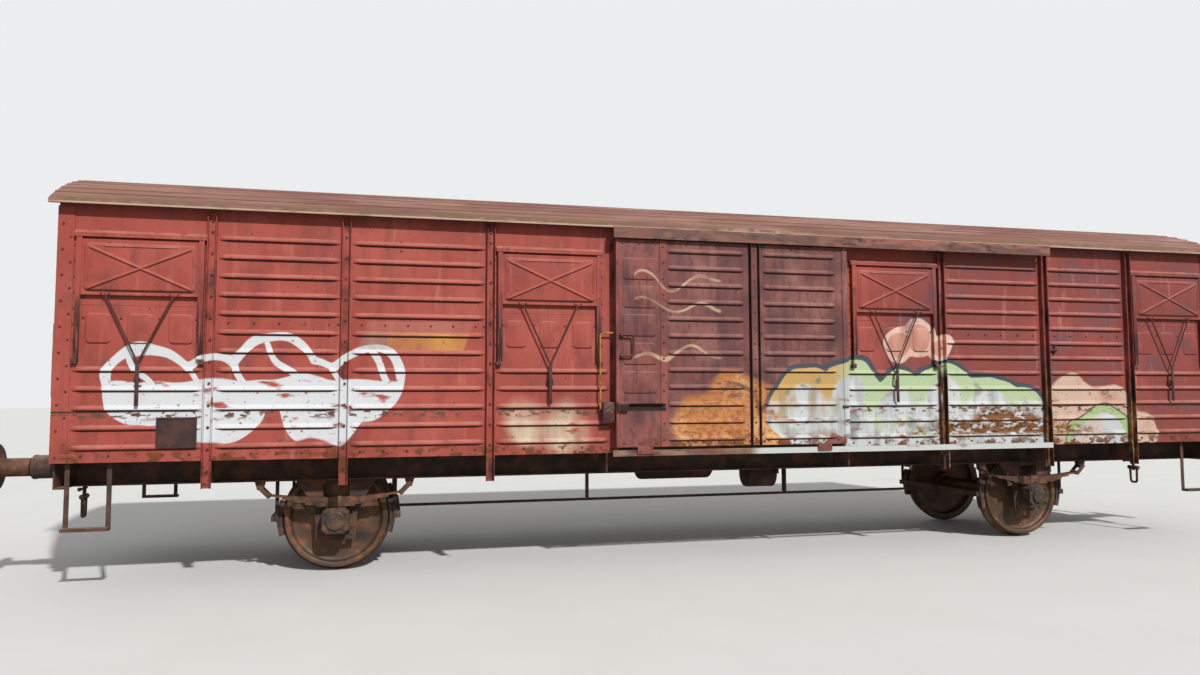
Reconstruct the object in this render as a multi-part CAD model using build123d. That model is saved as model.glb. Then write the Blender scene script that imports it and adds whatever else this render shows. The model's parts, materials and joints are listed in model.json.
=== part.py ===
from build123d import *

import functools
import math
import os

# Two-axle covered goods wagon with sliding side doors, vent hatches and an arched sheet roof.
# Millimetres. +X runs along the wagon, the near side faces -Y, +Z is up and the flange tips stand on z = 0.
# The far side is the near side turned half round about Z, as on the real wagon.

os.makedirs("parts", exist_ok=True)

# Wheels and rail level
FLANGE_DEPTH = 28.0
TREAD_RADIUS = 500.0
WHEELBASE = 8000.0
RIM_WIDTH = 135.0
RIM_DEPTH = 65.0
BACK_TO_BACK = 1360.0
HUB_RADIUS = 125.0
AXLE_RADIUS = 80.0
JOURNAL_RADIUS = 60.0
JOURNAL_CLEARANCE = 0.06

# Body shell
BODY_LENGTH = 12780.0
SHEET_HALF_WIDTH = 1370.0
WALL_THICKNESS = 70.0
CORNER_PLATE_THICKNESS = 8.0
CORNER_PLATE_WIDTH = 136.0
FLOOR_HEIGHT = 1235.0
FLOOR_THICKNESS = 50.0
SHEET_FOOT_HEIGHT = 1120.0
EAVE_HEIGHT = 3412.0
WALL_TOP_OVER_EAVE = 28.0
CANT_RAIL_INSIDE = 60.0

# Roof
ROOF_EAVE_OUT = 120.0
ROOF_RADIUS = 2800.0
ROOF_THICKNESS = 30.0
SHOULDER_RADIUS = 60.0
ROOF_OVERHANG = 50.0
ROOF_BEAD_PITCH = 152.0
ROOF_BEAD_WIDTH = 40.0
ROOF_BEAD_HEIGHT = 9.0
ROOF_BEADS_EACH_SIDE = 9
BOW_WIDTH = 50.0
BOW_DEPTH = 60.0
BOW_CHORDS = 6
SEAT_GAP = 0.3

# Side posts and pressed ribs, places measured from the end of the body
POSTS_FROM_END = (1278.0, 2468.0, 3846.0)
POST_WIDTH = 79.0
POST_DEPTH = 50.0
POST_GAUGE = 6.0
POST_FOOT_UNDER_SHEET = 250.0
POST_TOP_UNDER_WALL = 8.0
RIB_PITCH = 174.0
RIB_FIRST_ABOVE_FOOT = 128.0
RIB_COUNT = 12
HATCH_BAY_RIB_COUNT = 5
RIB_WIDTH = 50.0
RIB_CREST_DROP = 6.0
RIB_HEIGHT = 20.0
RIB_TAPER = 80.0
RIB_END_GAP = 25.0
SINK = 1.0
ROD_SIDES = 6

# Vent hatches
HATCH_CENTRES_FROM_END = (690.0, 4440.0)
WINDOW_WIDTH = 860.0
WINDOW_HEIGHT = 360.0
WINDOW_TOP_UNDER_EAVE = 362.0
SHUTTER_SIDE_LAP = 64.0
SHUTTER_TOP_LAP = 60.0
SHUTTER_FOOT_LAP = 85.0
SHUTTER_STANDOFF = 22.0
SHUTTER_GAUGE = 16.0
BRACE_MARGIN = 60.0
BRACE_WIDTH = 30.0
BRACE_HEIGHT = 10.0
SHUTTER_TRAVEL = 500.0
GUIDE_CLEARANCE = 6.0
GUIDE_WIDTH = 26.0
GUIDE_LIP = 20.0
GUIDE_LIP_GAUGE = 6.0
GUIDE_SPARE = 65.0
HOOD_CLEARANCE = 20.0
HOOD_PAST_GUIDE = 19.0
HOOD_DEPTH = 50.0
HOOD_HEIGHT = 65.0
HOOD_FALL = 30.0
PULL_ROD_RADIUS = 7.0
PULL_ROD_INSET = 211.0
PULL_ROD_DROP = 599.0
PULL_BAR_LENGTH = 373.0
PULL_BAR_WIDTH = 30.0
PULL_BAR_GAUGE = 10.0
KEEPER_DROP = 171.0
KEEPER_SIZE = 60.0
KEEPER_DEPTH = 34.0

# Door opening, doors and their rails
OPENING_WIDTH = 2500.0
OPENING_TOP_UNDER_EAVE = 142.0
JAMB_LINER = 8.0
JAMB_WIDTH = 73.0
JAMB_STANDOFF = 66.0
JAMB_LIP = 40.0
DOOR_GAP = 75.0
DOOR_THICKNESS = 45.0
DOOR_WIDTH = 2600.0
DOOR_LEFT_LAP = 40.0
DOOR_FOOT_ABOVE_SHEET = 60.0
DOOR_TOP_LAP = 25.0
DOOR_TRAVEL = 2550.0
DOOR_RIB_PITCH = 175.4
DOOR_RIB_FIRST_ABOVE_FOOT = 78.0
DOOR_RIB_COUNT = 12
DOOR_RIB_HEIGHT = 16.0
RAIL_COVER_DEPTH = 175.0
RAIL_COVER_HEIGHT = 112.0
RAIL_COVER_GAUGE = 7.0
RAIL_COVER_UNDER_EAVE = 1.0
RAIL_SPARE = 100.0
RAIL_LEDGE_WIDTH = 58.0
RAIL_LEDGE_HEIGHT = 42.0
ROLLER_RADIUS = 24.0
ROLLER_WIDTH = 36.0
ROLLER_INSET = 300.0
HANGER_WIDTH = 120.0
HANGER_GAUGE = 10.0
LOWER_RAIL_UNDER_DOOR = 30.0
LOWER_RAIL_DEPTH = 60.0
LOWER_RAIL_GAUGE = 12.0
LOWER_RAIL_OUT = 104.0
SHOE_CLEARANCE = 6.0
SHOE_GAUGE = 10.0
SHOE_LENGTH = 160.0

# Underframe
SOLEBAR_DEPTH = 300.0
SOLEBAR_WEB = 10.0
SOLEBAR_FLANGE = 14.0
SOLEBAR_FLANGE_WIDTH = 100.0
SOLEBAR_INNER_FACE = 930.0
HEADSTOCK_HALF_WIDTH = 1290.0
HEADSTOCK_DEPTH = 80.0
HEADSTOCK_GAUGE = 14.0
BEARER_WIDTH = 70.0
BEARER_DEPTH = 120.0
CENTRE_SILL_SPACING = 440.0
CENTRE_SILL_WIDTH = 70.0
CENTRE_SILL_DEPTH = 120.0
SIDE_SILL_WIDTH = 70.0
SIDE_SILL_GAUGE = 10.0
OUTRIGGER_GAUGE = 10.0
OUTRIGGER_RISE = 45.0

# Buffers and draw gear
BUFFER_PROJECTION = 620.0
BUFFER_HEIGHT = 1060.0
BUFFER_SPACING = 1750.0
BUFFER_HEAD_RADIUS = 225.0
BUFFER_PLATE = 330.0
HEAD_THICKNESS = 40.0
HEAD_NECK = 45.0
HEAD_CROWN = 16.0
HEAD_ROLL = 110.0
HEAD_SIDES = 16
BUFFER_CASING_RADIUS = 108.0
BUFFER_PLUNGER_RADIUS = 84.0
BUFFER_PLATE_HEIGHT = 280.0
BUFFER_PLATE_GAUGE = 20.0
CASING_LENGTH = 270.0
CASING_FLOOR = 100.0
CASING_CLEARANCE = 3.0


def above_rail(height):
    """z of a height that is counted from the rail's top."""
    return FLANGE_DEPTH + height


# Places that follow from the driving sizes
AXLE_Z = FLANGE_DEPTH + TREAD_RADIUS
FLOOR_TOP = above_rail(FLOOR_HEIGHT)
FLOOR_BOTTOM = FLOOR_TOP - FLOOR_THICKNESS
SHEET_BOTTOM = above_rail(SHEET_FOOT_HEIGHT)
EAVE_Z = above_rail(EAVE_HEIGHT)
WALL_TOP = EAVE_Z + WALL_TOP_OVER_EAVE
HALF_BODY = BODY_LENGTH / 2
END_SHEET_X = HALF_BODY - CORNER_PLATE_THICKNESS
INNER_HALF_WIDTH = SHEET_HALF_WIDTH - WALL_THICKNESS
HALF_OPENING = OPENING_WIDTH / 2
POSTS_X = [HALF_BODY - place for place in POSTS_FROM_END]
WINDOW_TOP = EAVE_Z - WINDOW_TOP_UNDER_EAVE
WINDOW_FOOT = WINDOW_TOP - WINDOW_HEIGHT
SHUTTER_TOP = WINDOW_TOP + SHUTTER_TOP_LAP
SHUTTER_FOOT = WINDOW_FOOT - SHUTTER_FOOT_LAP
SHUTTER_WIDTH = WINDOW_WIDTH + 2 * SHUTTER_SIDE_LAP
HOOD_FOOT = SHUTTER_TOP + HOOD_CLEARANCE
JAMB_OUTER_X = HALF_OPENING + JAMB_WIDTH
OPENING_TOP = EAVE_Z - OPENING_TOP_UNDER_EAVE
DOOR_FOOT = SHEET_BOTTOM + DOOR_FOOT_ABOVE_SHEET
DOOR_TOP = OPENING_TOP + DOOR_TOP_LAP
LOWER_RAIL_Z = DOOR_FOOT - LOWER_RAIL_UNDER_DOOR - LOWER_RAIL_DEPTH
DOOR_LEFT_X = -HALF_OPENING - DOOR_LEFT_LAP
DOOR_RIGHT_X = DOOR_LEFT_X + DOOR_WIDTH
DOOR_FACE = DOOR_GAP + DOOR_THICKNESS
ROOF_HALF_WIDTH = SHEET_HALF_WIDTH + ROOF_EAVE_OUT
SHOULDER_Y = ROOF_HALF_WIDTH - SHOULDER_RADIUS
ROOF_CENTRE_Z = EAVE_Z - math.sqrt((ROOF_RADIUS - SHOULDER_RADIUS) ** 2 - SHOULDER_Y**2)
SHOULDER_ANGLE = math.asin(SHOULDER_Y / (ROOF_RADIUS - SHOULDER_RADIUS))
CANT_RAIL_WIDTH = WALL_THICKNESS + CANT_RAIL_INSIDE
SOLEBAR_BOTTOM = FLOOR_BOTTOM - SOLEBAR_DEPTH
SOLEBAR_OUTER = SOLEBAR_INNER_FACE + SOLEBAR_FLANGE_WIDTH
BEARER_BOTTOM = FLOOR_BOTTOM - BEARER_DEPTH
BUFFER_Z = above_rail(BUFFER_HEIGHT)
BUFFER_FACE_X = HALF_BODY + BUFFER_PROJECTION


def block(x0, x1, y0, y1, z0, z1):
    """A box between six planes."""
    centre = Pos((x0 + x1) / 2, (y0 + y1) / 2, (z0 + z1) / 2)
    return centre * Box(abs(x1 - x0), abs(y1 - y0), abs(z1 - z0))


def side_block(x0, x1, out0, out1, z0, z1):
    """A box on the near side, its depths counted outwards from the wall sheet."""
    return block(x0, x1, -SHEET_HALF_WIDTH - out0, -SHEET_HALF_WIDTH - out1, z0, z1)


def side_plane(x, z, out=0.0):
    """A plane on the near side that faces out, local x along the wagon and local y up."""
    return Plane(origin=(x, -SHEET_HALF_WIDTH - out, z), x_dir=(1, 0, 0), z_dir=(0, -1, 0))


def end_plane(y, z, x):
    """A plane that faces +X, local x along +Y and local y up."""
    return Plane(origin=(x, y, z), x_dir=(0, 1, 0), z_dir=(1, 0, 0))


def prism_x(points, x0, x1):
    """An outline of (y, z) points carried from x0 to x1."""
    return extrude(Plane.YZ.offset(x0) * make_face(Polyline(*points, close=True)), amount=x1 - x0)


def prism_y(points, y0, y1):
    """An outline of (x, z) points carried from y0 to y1."""
    plane = Plane(origin=(0, y1, 0), x_dir=(1, 0, 0), z_dir=(0, -1, 0))
    return extrude(plane * make_face(Polyline(*points, close=True)), amount=y1 - y0)


def prism_z(points, z0, z1):
    """An outline of (x, y) points carried from z0 to z1."""
    return extrude(Plane.XY.offset(z0) * make_face(Polyline(*points, close=True)), amount=z1 - z0)


def drum(start, end, radius):
    """A round solid between two points."""
    direction = Vector(*end) - Vector(*start)
    return extrude(Plane(origin=start, z_dir=direction) * Circle(radius), amount=direction.length)


def rod(start, end, radius):
    """A thin bar between two points, its round section as a hexagon."""
    direction = Vector(*end) - Vector(*start)
    section = RegularPolygon(radius, ROD_SIDES)
    return extrude(Plane(origin=start, z_dir=direction) * section, amount=direction.length)


def frustum(radius, end_radius, height, sides):
    """A many-sided solid along local z; each radius is to the flats, which lie where a circle would."""
    turn = 2 * math.pi / sides

    def ring(size, z):
        reach = size / math.cos(turn / 2)
        angles = [turn * step for step in range(sides)]
        return [Vector(reach * math.cos(angle), reach * math.sin(angle), z) for angle in angles]

    low, high = ring(radius, 0), ring(end_radius, height)
    faces = [Face(Wire.make_polygon(low)), Face(Wire.make_polygon(high))]
    for step in range(sides):
        after = (step + 1) % sides
        faces.append(Face(Wire.make_polygon([low[step], low[after], high[after], high[step]])))
    return Solid(Shell(faces))


@functools.lru_cache(maxsize=None)
def ridge(length, width, height, taper, crest_drop):
    """A pressed rib with one crest, below its middle, and tapered ends; its foot is sunk into the sheet."""
    half = length / 2
    flanks = [(-width / 2, -SINK), (width / 2, -SINK), (-crest_drop, height)]
    ends = [(-half, -SINK), (half, -SINK), (half - taper, height), (taper - half, height)]
    return prism_x(flanks, -half, half) & prism_y(ends, -width / 2, width / 2)


def turned(shape):
    """The same piece on the far side: the near one turned half round about Z."""
    return Rot(0, 0, 180) * shape


def both_ends(shape):
    return [shape, mirror(shape, about=Plane.YZ)]


def four_corners(shape):
    return [*both_ends(shape), *both_ends(mirror(shape, about=Plane.XZ))]


def fused(first, others):
    """One solid of a body and what is raised on it."""
    return first.fuse(*others) if others else first


def write(name, shapes):
    """One STEP file for a sub-part, of all its solids."""
    solids = [solid for shape in shapes for solid in shape.solids()]
    export_step(Compound(label=name, children=solids), f"parts/{name}.step")


# Side walls: one panel from each corner to the door, ribbed between the posts, with two vent windows
def rib_bays():
    """Start, end and rib count of each bay of the left half, counted from the end of the body."""
    half_post = POST_WIDTH / 2
    first, second, third = POSTS_FROM_END
    door_side = HALF_BODY - JAMB_OUTER_X
    return [
        (CORNER_PLATE_WIDTH, first - half_post, HATCH_BAY_RIB_COUNT),
        (first + half_post, second - half_post, RIB_COUNT),
        (second + half_post, third - half_post, RIB_COUNT),
        (third + half_post, door_side, HATCH_BAY_RIB_COUNT),
    ]


def side_wall():
    """The near left panel, from the corner to the door opening."""
    wall = side_block(-END_SHEET_X, -HALF_OPENING - JAMB_LINER, -WALL_THICKNESS, 0, SHEET_BOTTOM, WALL_TOP)
    raised = []
    for start, end, count in rib_bays():
        middle = -HALF_BODY + (start + end) / 2
        length = end - start - 2 * RIB_END_GAP
        for row in range(count):
            z = SHEET_BOTTOM + RIB_FIRST_ABOVE_FOOT + row * RIB_PITCH
            rib = ridge(length, RIB_WIDTH, RIB_HEIGHT, RIB_TAPER, RIB_CREST_DROP)
            raised.append(side_plane(middle, z) * rib)
    wall = fused(wall, raised)
    for place in HATCH_CENTRES_FROM_END:
        x = -HALF_BODY + place
        half = WINDOW_WIDTH / 2
        wall = wall - side_block(x - half, x + half, -WALL_THICKNESS - SINK, SINK, WINDOW_FOOT, WINDOW_TOP)
    return wall


# End walls: ribbed sheets between two posts, their tops cut to the roof
END_POST_SPACING = 900.0
END_RIB_HEIGHT = 16.0
GABLE_CHORDS = 12


def roof_z(y, offset):
    """Height of the roof's main arch at y, on a surface that lies offset inside the outer one."""
    return ROOF_CENTRE_Z + math.sqrt((ROOF_RADIUS - offset) ** 2 - y**2)


def end_wall():
    """The right-hand end wall."""
    under_roof = ROOF_THICKNESS + SEAT_GAP
    places = [SHEET_HALF_WIDTH * (1 - 2 * step / GABLE_CHORDS) for step in range(GABLE_CHORDS + 1)]
    gable = [(y, roof_z(y, under_roof)) for y in places]
    foot = [(-SHEET_HALF_WIDTH, WALL_TOP), (-INNER_HALF_WIDTH, WALL_TOP), (-INNER_HALF_WIDTH, FLOOR_BOTTOM)]
    foot += [(-y, z) for y, z in reversed(foot)]
    wall = prism_x(gable + foot, END_SHEET_X - WALL_THICKNESS, END_SHEET_X)
    post_edge = (END_POST_SPACING + POST_WIDTH) / 2
    side_limit = SHEET_HALF_WIDTH - CORNER_PLATE_WIDTH
    inner_length = END_POST_SPACING - POST_WIDTH - 2 * RIB_END_GAP
    outer_length = side_limit - post_edge - 2 * RIB_END_GAP
    outer_middle = (side_limit + post_edge) / 2
    raised = []
    for row in range(RIB_COUNT):
        z = SHEET_BOTTOM + RIB_FIRST_ABOVE_FOOT + row * RIB_PITCH
        for y, length in ((-outer_middle, outer_length), (0, inner_length), (outer_middle, outer_length)):
            shape = ridge(length, RIB_WIDTH, END_RIB_HEIGHT, RIB_TAPER, RIB_CREST_DROP)
            raised.append(end_plane(y, z, END_SHEET_X) * shape)
    return fused(wall, raised)


# Posts: channels that open outwards, their webs on the sheet
def channel(width, depth, gauge, foot, top):
    """A channel on end, its web from y = 0 to -gauge and its flanges reaching to -depth."""
    half = width / 2
    outline = [
        (-half, 0),
        (half, 0),
        (half, -depth),
        (half - gauge, -depth),
        (half - gauge, -gauge),
        (gauge - half, -gauge),
        (gauge - half, -depth),
        (-half, -depth),
    ]
    return prism_z(outline, foot, top)


def side_posts():
    foot = SHEET_BOTTOM - POST_FOOT_UNDER_SHEET
    post = channel(POST_WIDTH, POST_DEPTH, POST_GAUGE, foot, EAVE_Z - POST_TOP_UNDER_WALL)
    posts = []
    for x in POSTS_X:
        posts.extend(four_corners(Pos(x, -SHEET_HALF_WIDTH, 0) * post))
    return posts


END_POST_UNDER_SHEET = 160.0
END_POST_OVER_EAVE = 148.0


def end_posts():
    foot, top = SHEET_BOTTOM - END_POST_UNDER_SHEET, EAVE_Z + END_POST_OVER_EAVE
    post = channel(POST_WIDTH, POST_DEPTH, POST_GAUGE, foot, top)
    return four_corners(Pos(END_SHEET_X, END_POST_SPACING / 2, 0) * Rot(0, 0, 90) * post)


def corner_posts():
    """Flat angles that wrap the four corners."""
    outer_y = SHEET_HALF_WIDTH + CORNER_PLATE_THICKNESS
    outline = [
        (HALF_BODY, outer_y),
        (HALF_BODY - CORNER_PLATE_WIDTH, outer_y),
        (HALF_BODY - CORNER_PLATE_WIDTH, SHEET_HALF_WIDTH),
        (END_SHEET_X, SHEET_HALF_WIDTH),
        (END_SHEET_X, outer_y - CORNER_PLATE_WIDTH),
        (HALF_BODY, outer_y - CORNER_PLATE_WIDTH),
    ]
    return four_corners(prism_z(outline, SHEET_BOTTOM, EAVE_Z - POST_TOP_UNDER_WALL))


def door_jambs():
    """Liners of the door openings that stand out to the back of the door."""
    inner = SHEET_HALF_WIDTH - WALL_THICKNESS
    outline = [
        (HALF_OPENING, inner),
        (HALF_OPENING + JAMB_LINER, inner),
        (HALF_OPENING + JAMB_LINER, SHEET_HALF_WIDTH),
        (JAMB_OUTER_X, SHEET_HALF_WIDTH),
        (JAMB_OUTER_X, SHEET_HALF_WIDTH + POST_GAUGE),
        (HALF_OPENING + JAMB_LINER, SHEET_HALF_WIDTH + POST_GAUGE),
        (HALF_OPENING + JAMB_LINER, SHEET_HALF_WIDTH + JAMB_STANDOFF - POST_GAUGE),
        (HALF_OPENING + JAMB_LIP, SHEET_HALF_WIDTH + JAMB_STANDOFF - POST_GAUGE),
        (HALF_OPENING + JAMB_LIP, SHEET_HALF_WIDTH + JAMB_STANDOFF),
        (HALF_OPENING, SHEET_HALF_WIDTH + JAMB_STANDOFF),
    ]
    return four_corners(prism_z(outline, SHEET_BOTTOM, OPENING_TOP))


# Roof: an arched shell with lengthwise beads, on cant rails and bows
def arch_edges(offset):
    """Half-left lip to half-right lip of the arch, on a surface that lies offset inside the outer one."""
    big, small = ROOF_RADIUS - offset, SHOULDER_RADIUS - offset
    tangent_y = big * math.sin(SHOULDER_ANGLE)
    tangent_z = ROOF_CENTRE_Z + big * math.cos(SHOULDER_ANGLE)
    middle = (SHOULDER_ANGLE + math.pi / 2) / 2
    middle_y = SHOULDER_Y + small * math.sin(middle)
    middle_z = EAVE_Z + small * math.cos(middle)
    lip_y = ROOF_HALF_WIDTH - offset
    return [
        ThreePointArc((-lip_y, EAVE_Z), (-middle_y, middle_z), (-tangent_y, tangent_z)),
        ThreePointArc((-tangent_y, tangent_z), (0, ROOF_CENTRE_Z + big), (tangent_y, tangent_z)),
        ThreePointArc((tangent_y, tangent_z), (middle_y, middle_z), (lip_y, EAVE_Z)),
    ]


def roof():
    inner_lip = ROOF_HALF_WIDTH - ROOF_THICKNESS
    lips = [
        Line((ROOF_HALF_WIDTH, EAVE_Z), (inner_lip, EAVE_Z)),
        Line((-inner_lip, EAVE_Z), (-ROOF_HALF_WIDTH, EAVE_Z)),
    ]
    section = make_face([*arch_edges(0), *arch_edges(ROOF_THICKNESS), *lips])
    length = BODY_LENGTH + 2 * ROOF_OVERHANG
    shell = extrude(Plane.YZ.offset(-length / 2) * section, amount=length)
    beads = []
    pitch = ROOF_BEAD_PITCH / ROOF_RADIUS
    foot = ROOF_RADIUS - 2 * SINK
    for step in range(-ROOF_BEADS_EACH_SIDE, ROOF_BEADS_EACH_SIDE + 1):
        outline = [
            (-ROOF_BEAD_WIDTH / 2, foot),
            (ROOF_BEAD_WIDTH / 2, foot),
            (0, ROOF_RADIUS + ROOF_BEAD_HEIGHT),
        ]
        bead = prism_x(outline, -length / 2, length / 2)
        beads.append(Pos(0, 0, ROOF_CENTRE_Z) * Rot(math.degrees(-step * pitch), 0, 0) * bead)
    return fused(shell, beads)


def cant_rail():
    """The near top rail: it fills the wall's top up to the roof, and drops over the door as its header."""
    under_roof = ROOF_THICKNESS + SEAT_GAP
    inner = SHEET_HALF_WIDTH - CANT_RAIL_WIDTH
    outline = [
        (-SHEET_HALF_WIDTH, WALL_TOP),
        (-SHEET_HALF_WIDTH, roof_z(SHEET_HALF_WIDTH, under_roof)),
        (-inner, roof_z(inner, under_roof)),
        (-inner, WALL_TOP),
    ]
    reach = END_SHEET_X - WALL_THICKNESS
    rail = prism_x(outline, -reach, reach)
    half = HALF_OPENING + JAMB_LINER
    header = side_block(-half, half, -WALL_THICKNESS, 0, OPENING_TOP, WALL_TOP)
    return fused(rail, [header])


def roof_bows():
    """Arched bows under the roof, one at each post and door jamb."""
    outer = ROOF_RADIUS - ROOF_THICKNESS - SEAT_GAP
    reach = SHEET_HALF_WIDTH - CANT_RAIL_WIDTH
    places = [reach * (2 * step / BOW_CHORDS - 1) for step in range(BOW_CHORDS + 1)]
    top = [(y, ROOF_CENTRE_Z + math.sqrt(outer**2 - y**2)) for y in places]
    foot = [(y, z - BOW_DEPTH) for y, z in reversed(top)]
    bow = prism_x(top + foot, -BOW_WIDTH / 2, BOW_WIDTH / 2)
    middle = (HALF_OPENING + JAMB_OUTER_X) / 2
    return [shape for x in [*POSTS_X, middle] for shape in both_ends(Pos(x, 0, 0) * bow)]


# Vent hatches: fixed guides, hood and keeper, and a shutter that slides down behind its guides
SHUTTER_FRONT = SHUTTER_STANDOFF + SHUTTER_GAUGE
LIP_START = SHUTTER_FRONT + SEAT_GAP
PULL_OUT = SHUTTER_FRONT + GUIDE_CLEARANCE + PULL_ROD_RADIUS
PULL_NODE_Z = SHUTTER_FOOT - PULL_ROD_DROP


def hatch_frame(x):
    """Fixed pieces round one near-side hatch that is centred at x."""
    edge = SHUTTER_WIDTH / 2 + GUIDE_CLEARANCE
    out = SHEET_HALF_WIDTH
    guide_outline = [
        (edge, -out),
        (edge + GUIDE_WIDTH, -out),
        (edge + GUIDE_WIDTH, -out - LIP_START - GUIDE_LIP_GAUGE),
        (edge - GUIDE_LIP, -out - LIP_START - GUIDE_LIP_GAUGE),
        (edge - GUIDE_LIP, -out - LIP_START),
        (edge, -out - LIP_START),
    ]
    guide = prism_z(guide_outline, SHUTTER_FOOT - SHUTTER_TRAVEL - GUIDE_SPARE, HOOD_FOOT - SEAT_GAP)
    high = HOOD_FOOT + HOOD_HEIGHT
    front = -out - HOOD_DEPTH
    hood_outline = [(-out, HOOD_FOOT), (-out, high), (front, high - HOOD_FALL), (front, HOOD_FOOT)]
    hood_reach = edge + GUIDE_WIDTH + HOOD_PAST_GUIDE
    hood = prism_x(hood_outline, -hood_reach, hood_reach)
    middle = PULL_NODE_Z - KEEPER_DROP
    half = KEEPER_SIZE / 2
    keeper = side_block(-half, half, 0, KEEPER_DEPTH, middle - half, middle + half)
    inset = half / 2
    notch = side_block(-inset, inset, KEEPER_DEPTH / 2, KEEPER_DEPTH + SINK, middle - inset, middle + inset)
    return [Pos(x, 0, 0) * piece for piece in (*both_ends(guide), hood, keeper - notch)]


def shutter():
    """One shutter with its pull rods, centred at x = 0 on the near side."""
    low, high = SHUTTER_FOOT, SHUTTER_TOP
    half = SHUTTER_WIDTH / 2
    plate = side_block(-half, half, SHUTTER_STANDOFF, SHUTTER_FRONT, low, high)
    middle = (low + high) / 2
    wide = SHUTTER_WIDTH - 2 * BRACE_MARGIN
    tall = high - low - 2 * BRACE_MARGIN
    slope = math.degrees(math.atan2(tall, wide))
    length = math.hypot(wide, tall) - BRACE_MARGIN
    raised = []
    for turn in (slope, -slope):
        brace = ridge(length, BRACE_WIDTH, BRACE_HEIGHT, BRACE_WIDTH, 0)
        raised.append(side_plane(0, middle, SHUTTER_FRONT) * Rot(0, 0, turn) * brace)
    y = -SHEET_HALF_WIDTH - PULL_OUT
    node = (0, y, PULL_NODE_Z)
    lug = PULL_BAR_WIDTH / 2
    for side in (-1, 1):
        x = side * (half - PULL_ROD_INSET)
        root = SHUTTER_FRONT - SINK
        raised.append(side_block(x - lug, x + lug, root, PULL_OUT + PULL_ROD_RADIUS, low, low + lug))
        raised.append(rod((x, y, low + lug / 2), node, PULL_ROD_RADIUS))
    thin = PULL_BAR_GAUGE / 2
    foot, top = PULL_NODE_Z - PULL_BAR_LENGTH, PULL_NODE_Z + lug
    raised.append(side_block(-lug, lug, PULL_OUT - thin, PULL_OUT + thin, foot, top))
    return fused(plate, raised)


# Doors, hung on rollers in a covered rail and guided by shoes on a lower rail
STRIP_COVER_START = 468.0
STRIP_COVER_WIDTH = 70.0
DOOR_RIB_SPANS = ((551.0, 1388.0), (1615.0, 2452.0))
DOOR_CHANNEL_CENTRE = 1512.0
DOOR_CHANNEL_WIDTH = 101.0
DOOR_CHANNEL_DEPTH = 40.0
DOOR_EDGE_WIDTH = 60.0
DOOR_EDGE_HEIGHT = 8.0


def door_leaf():
    """The near door's leaf, closed."""
    low, high = DOOR_FOOT, DOOR_TOP
    leaf = side_block(DOOR_LEFT_X, DOOR_RIGHT_X, DOOR_GAP, DOOR_FACE, low, high)
    raised = []
    for start, end in DOOR_RIB_SPANS:
        middle = DOOR_LEFT_X + (start + end) / 2
        for row in range(DOOR_RIB_COUNT):
            z = DOOR_FOOT + DOOR_RIB_FIRST_ABOVE_FOOT + row * DOOR_RIB_PITCH
            shape = ridge(end - start, RIB_WIDTH, DOOR_RIB_HEIGHT, RIB_TAPER / 2, RIB_CREST_DROP)
            raised.append(side_plane(middle, z, DOOR_FACE) * shape)
    strip = DOOR_LEFT_X + STRIP_COVER_START
    face = DOOR_FACE + DOOR_EDGE_HEIGHT
    raised.append(side_block(strip, strip + STRIP_COVER_WIDTH, DOOR_FACE - SINK, face, low, high))
    raised.append(side_block(DOOR_LEFT_X, DOOR_LEFT_X + DOOR_EDGE_WIDTH / 2, DOOR_FACE - SINK, face, low, high))
    raised.append(side_block(DOOR_RIGHT_X - DOOR_EDGE_WIDTH, DOOR_RIGHT_X, DOOR_FACE - SINK, face, low, high))
    stiffener = channel(DOOR_CHANNEL_WIDTH, DOOR_CHANNEL_DEPTH, POST_GAUGE, low, high)
    raised.append(Pos(DOOR_LEFT_X + DOOR_CHANNEL_CENTRE, -SHEET_HALF_WIDTH - DOOR_FACE, 0) * stiffener)
    return fused(leaf, raised)


HANDLE_HEIGHTS = (2100.0, 2310.0)
HANDLE_INSETS = (44.0, 168.0)
HANDLE_RADIUS = 9.0
HANDLE_OUT = 45.0
LEDGE_HEIGHT = 1635.0
LEDGE_THICKNESS = 18.0
LEDGE_INSETS = (10.0, 500.0)
LEDGE_OUT = 45.0
LATCH_BOX_HEIGHTS = (1545.0, 1617.0)
LATCH_BOX_INSETS = (12.0, 120.0)


def ledge_z():
    """Heights of the rail ledge that the door's rollers run on, its foot and its top."""
    top = EAVE_Z - RAIL_COVER_UNDER_EAVE - RAIL_COVER_HEIGHT + RAIL_LEDGE_HEIGHT
    return top - RAIL_COVER_GAUGE, top


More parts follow.
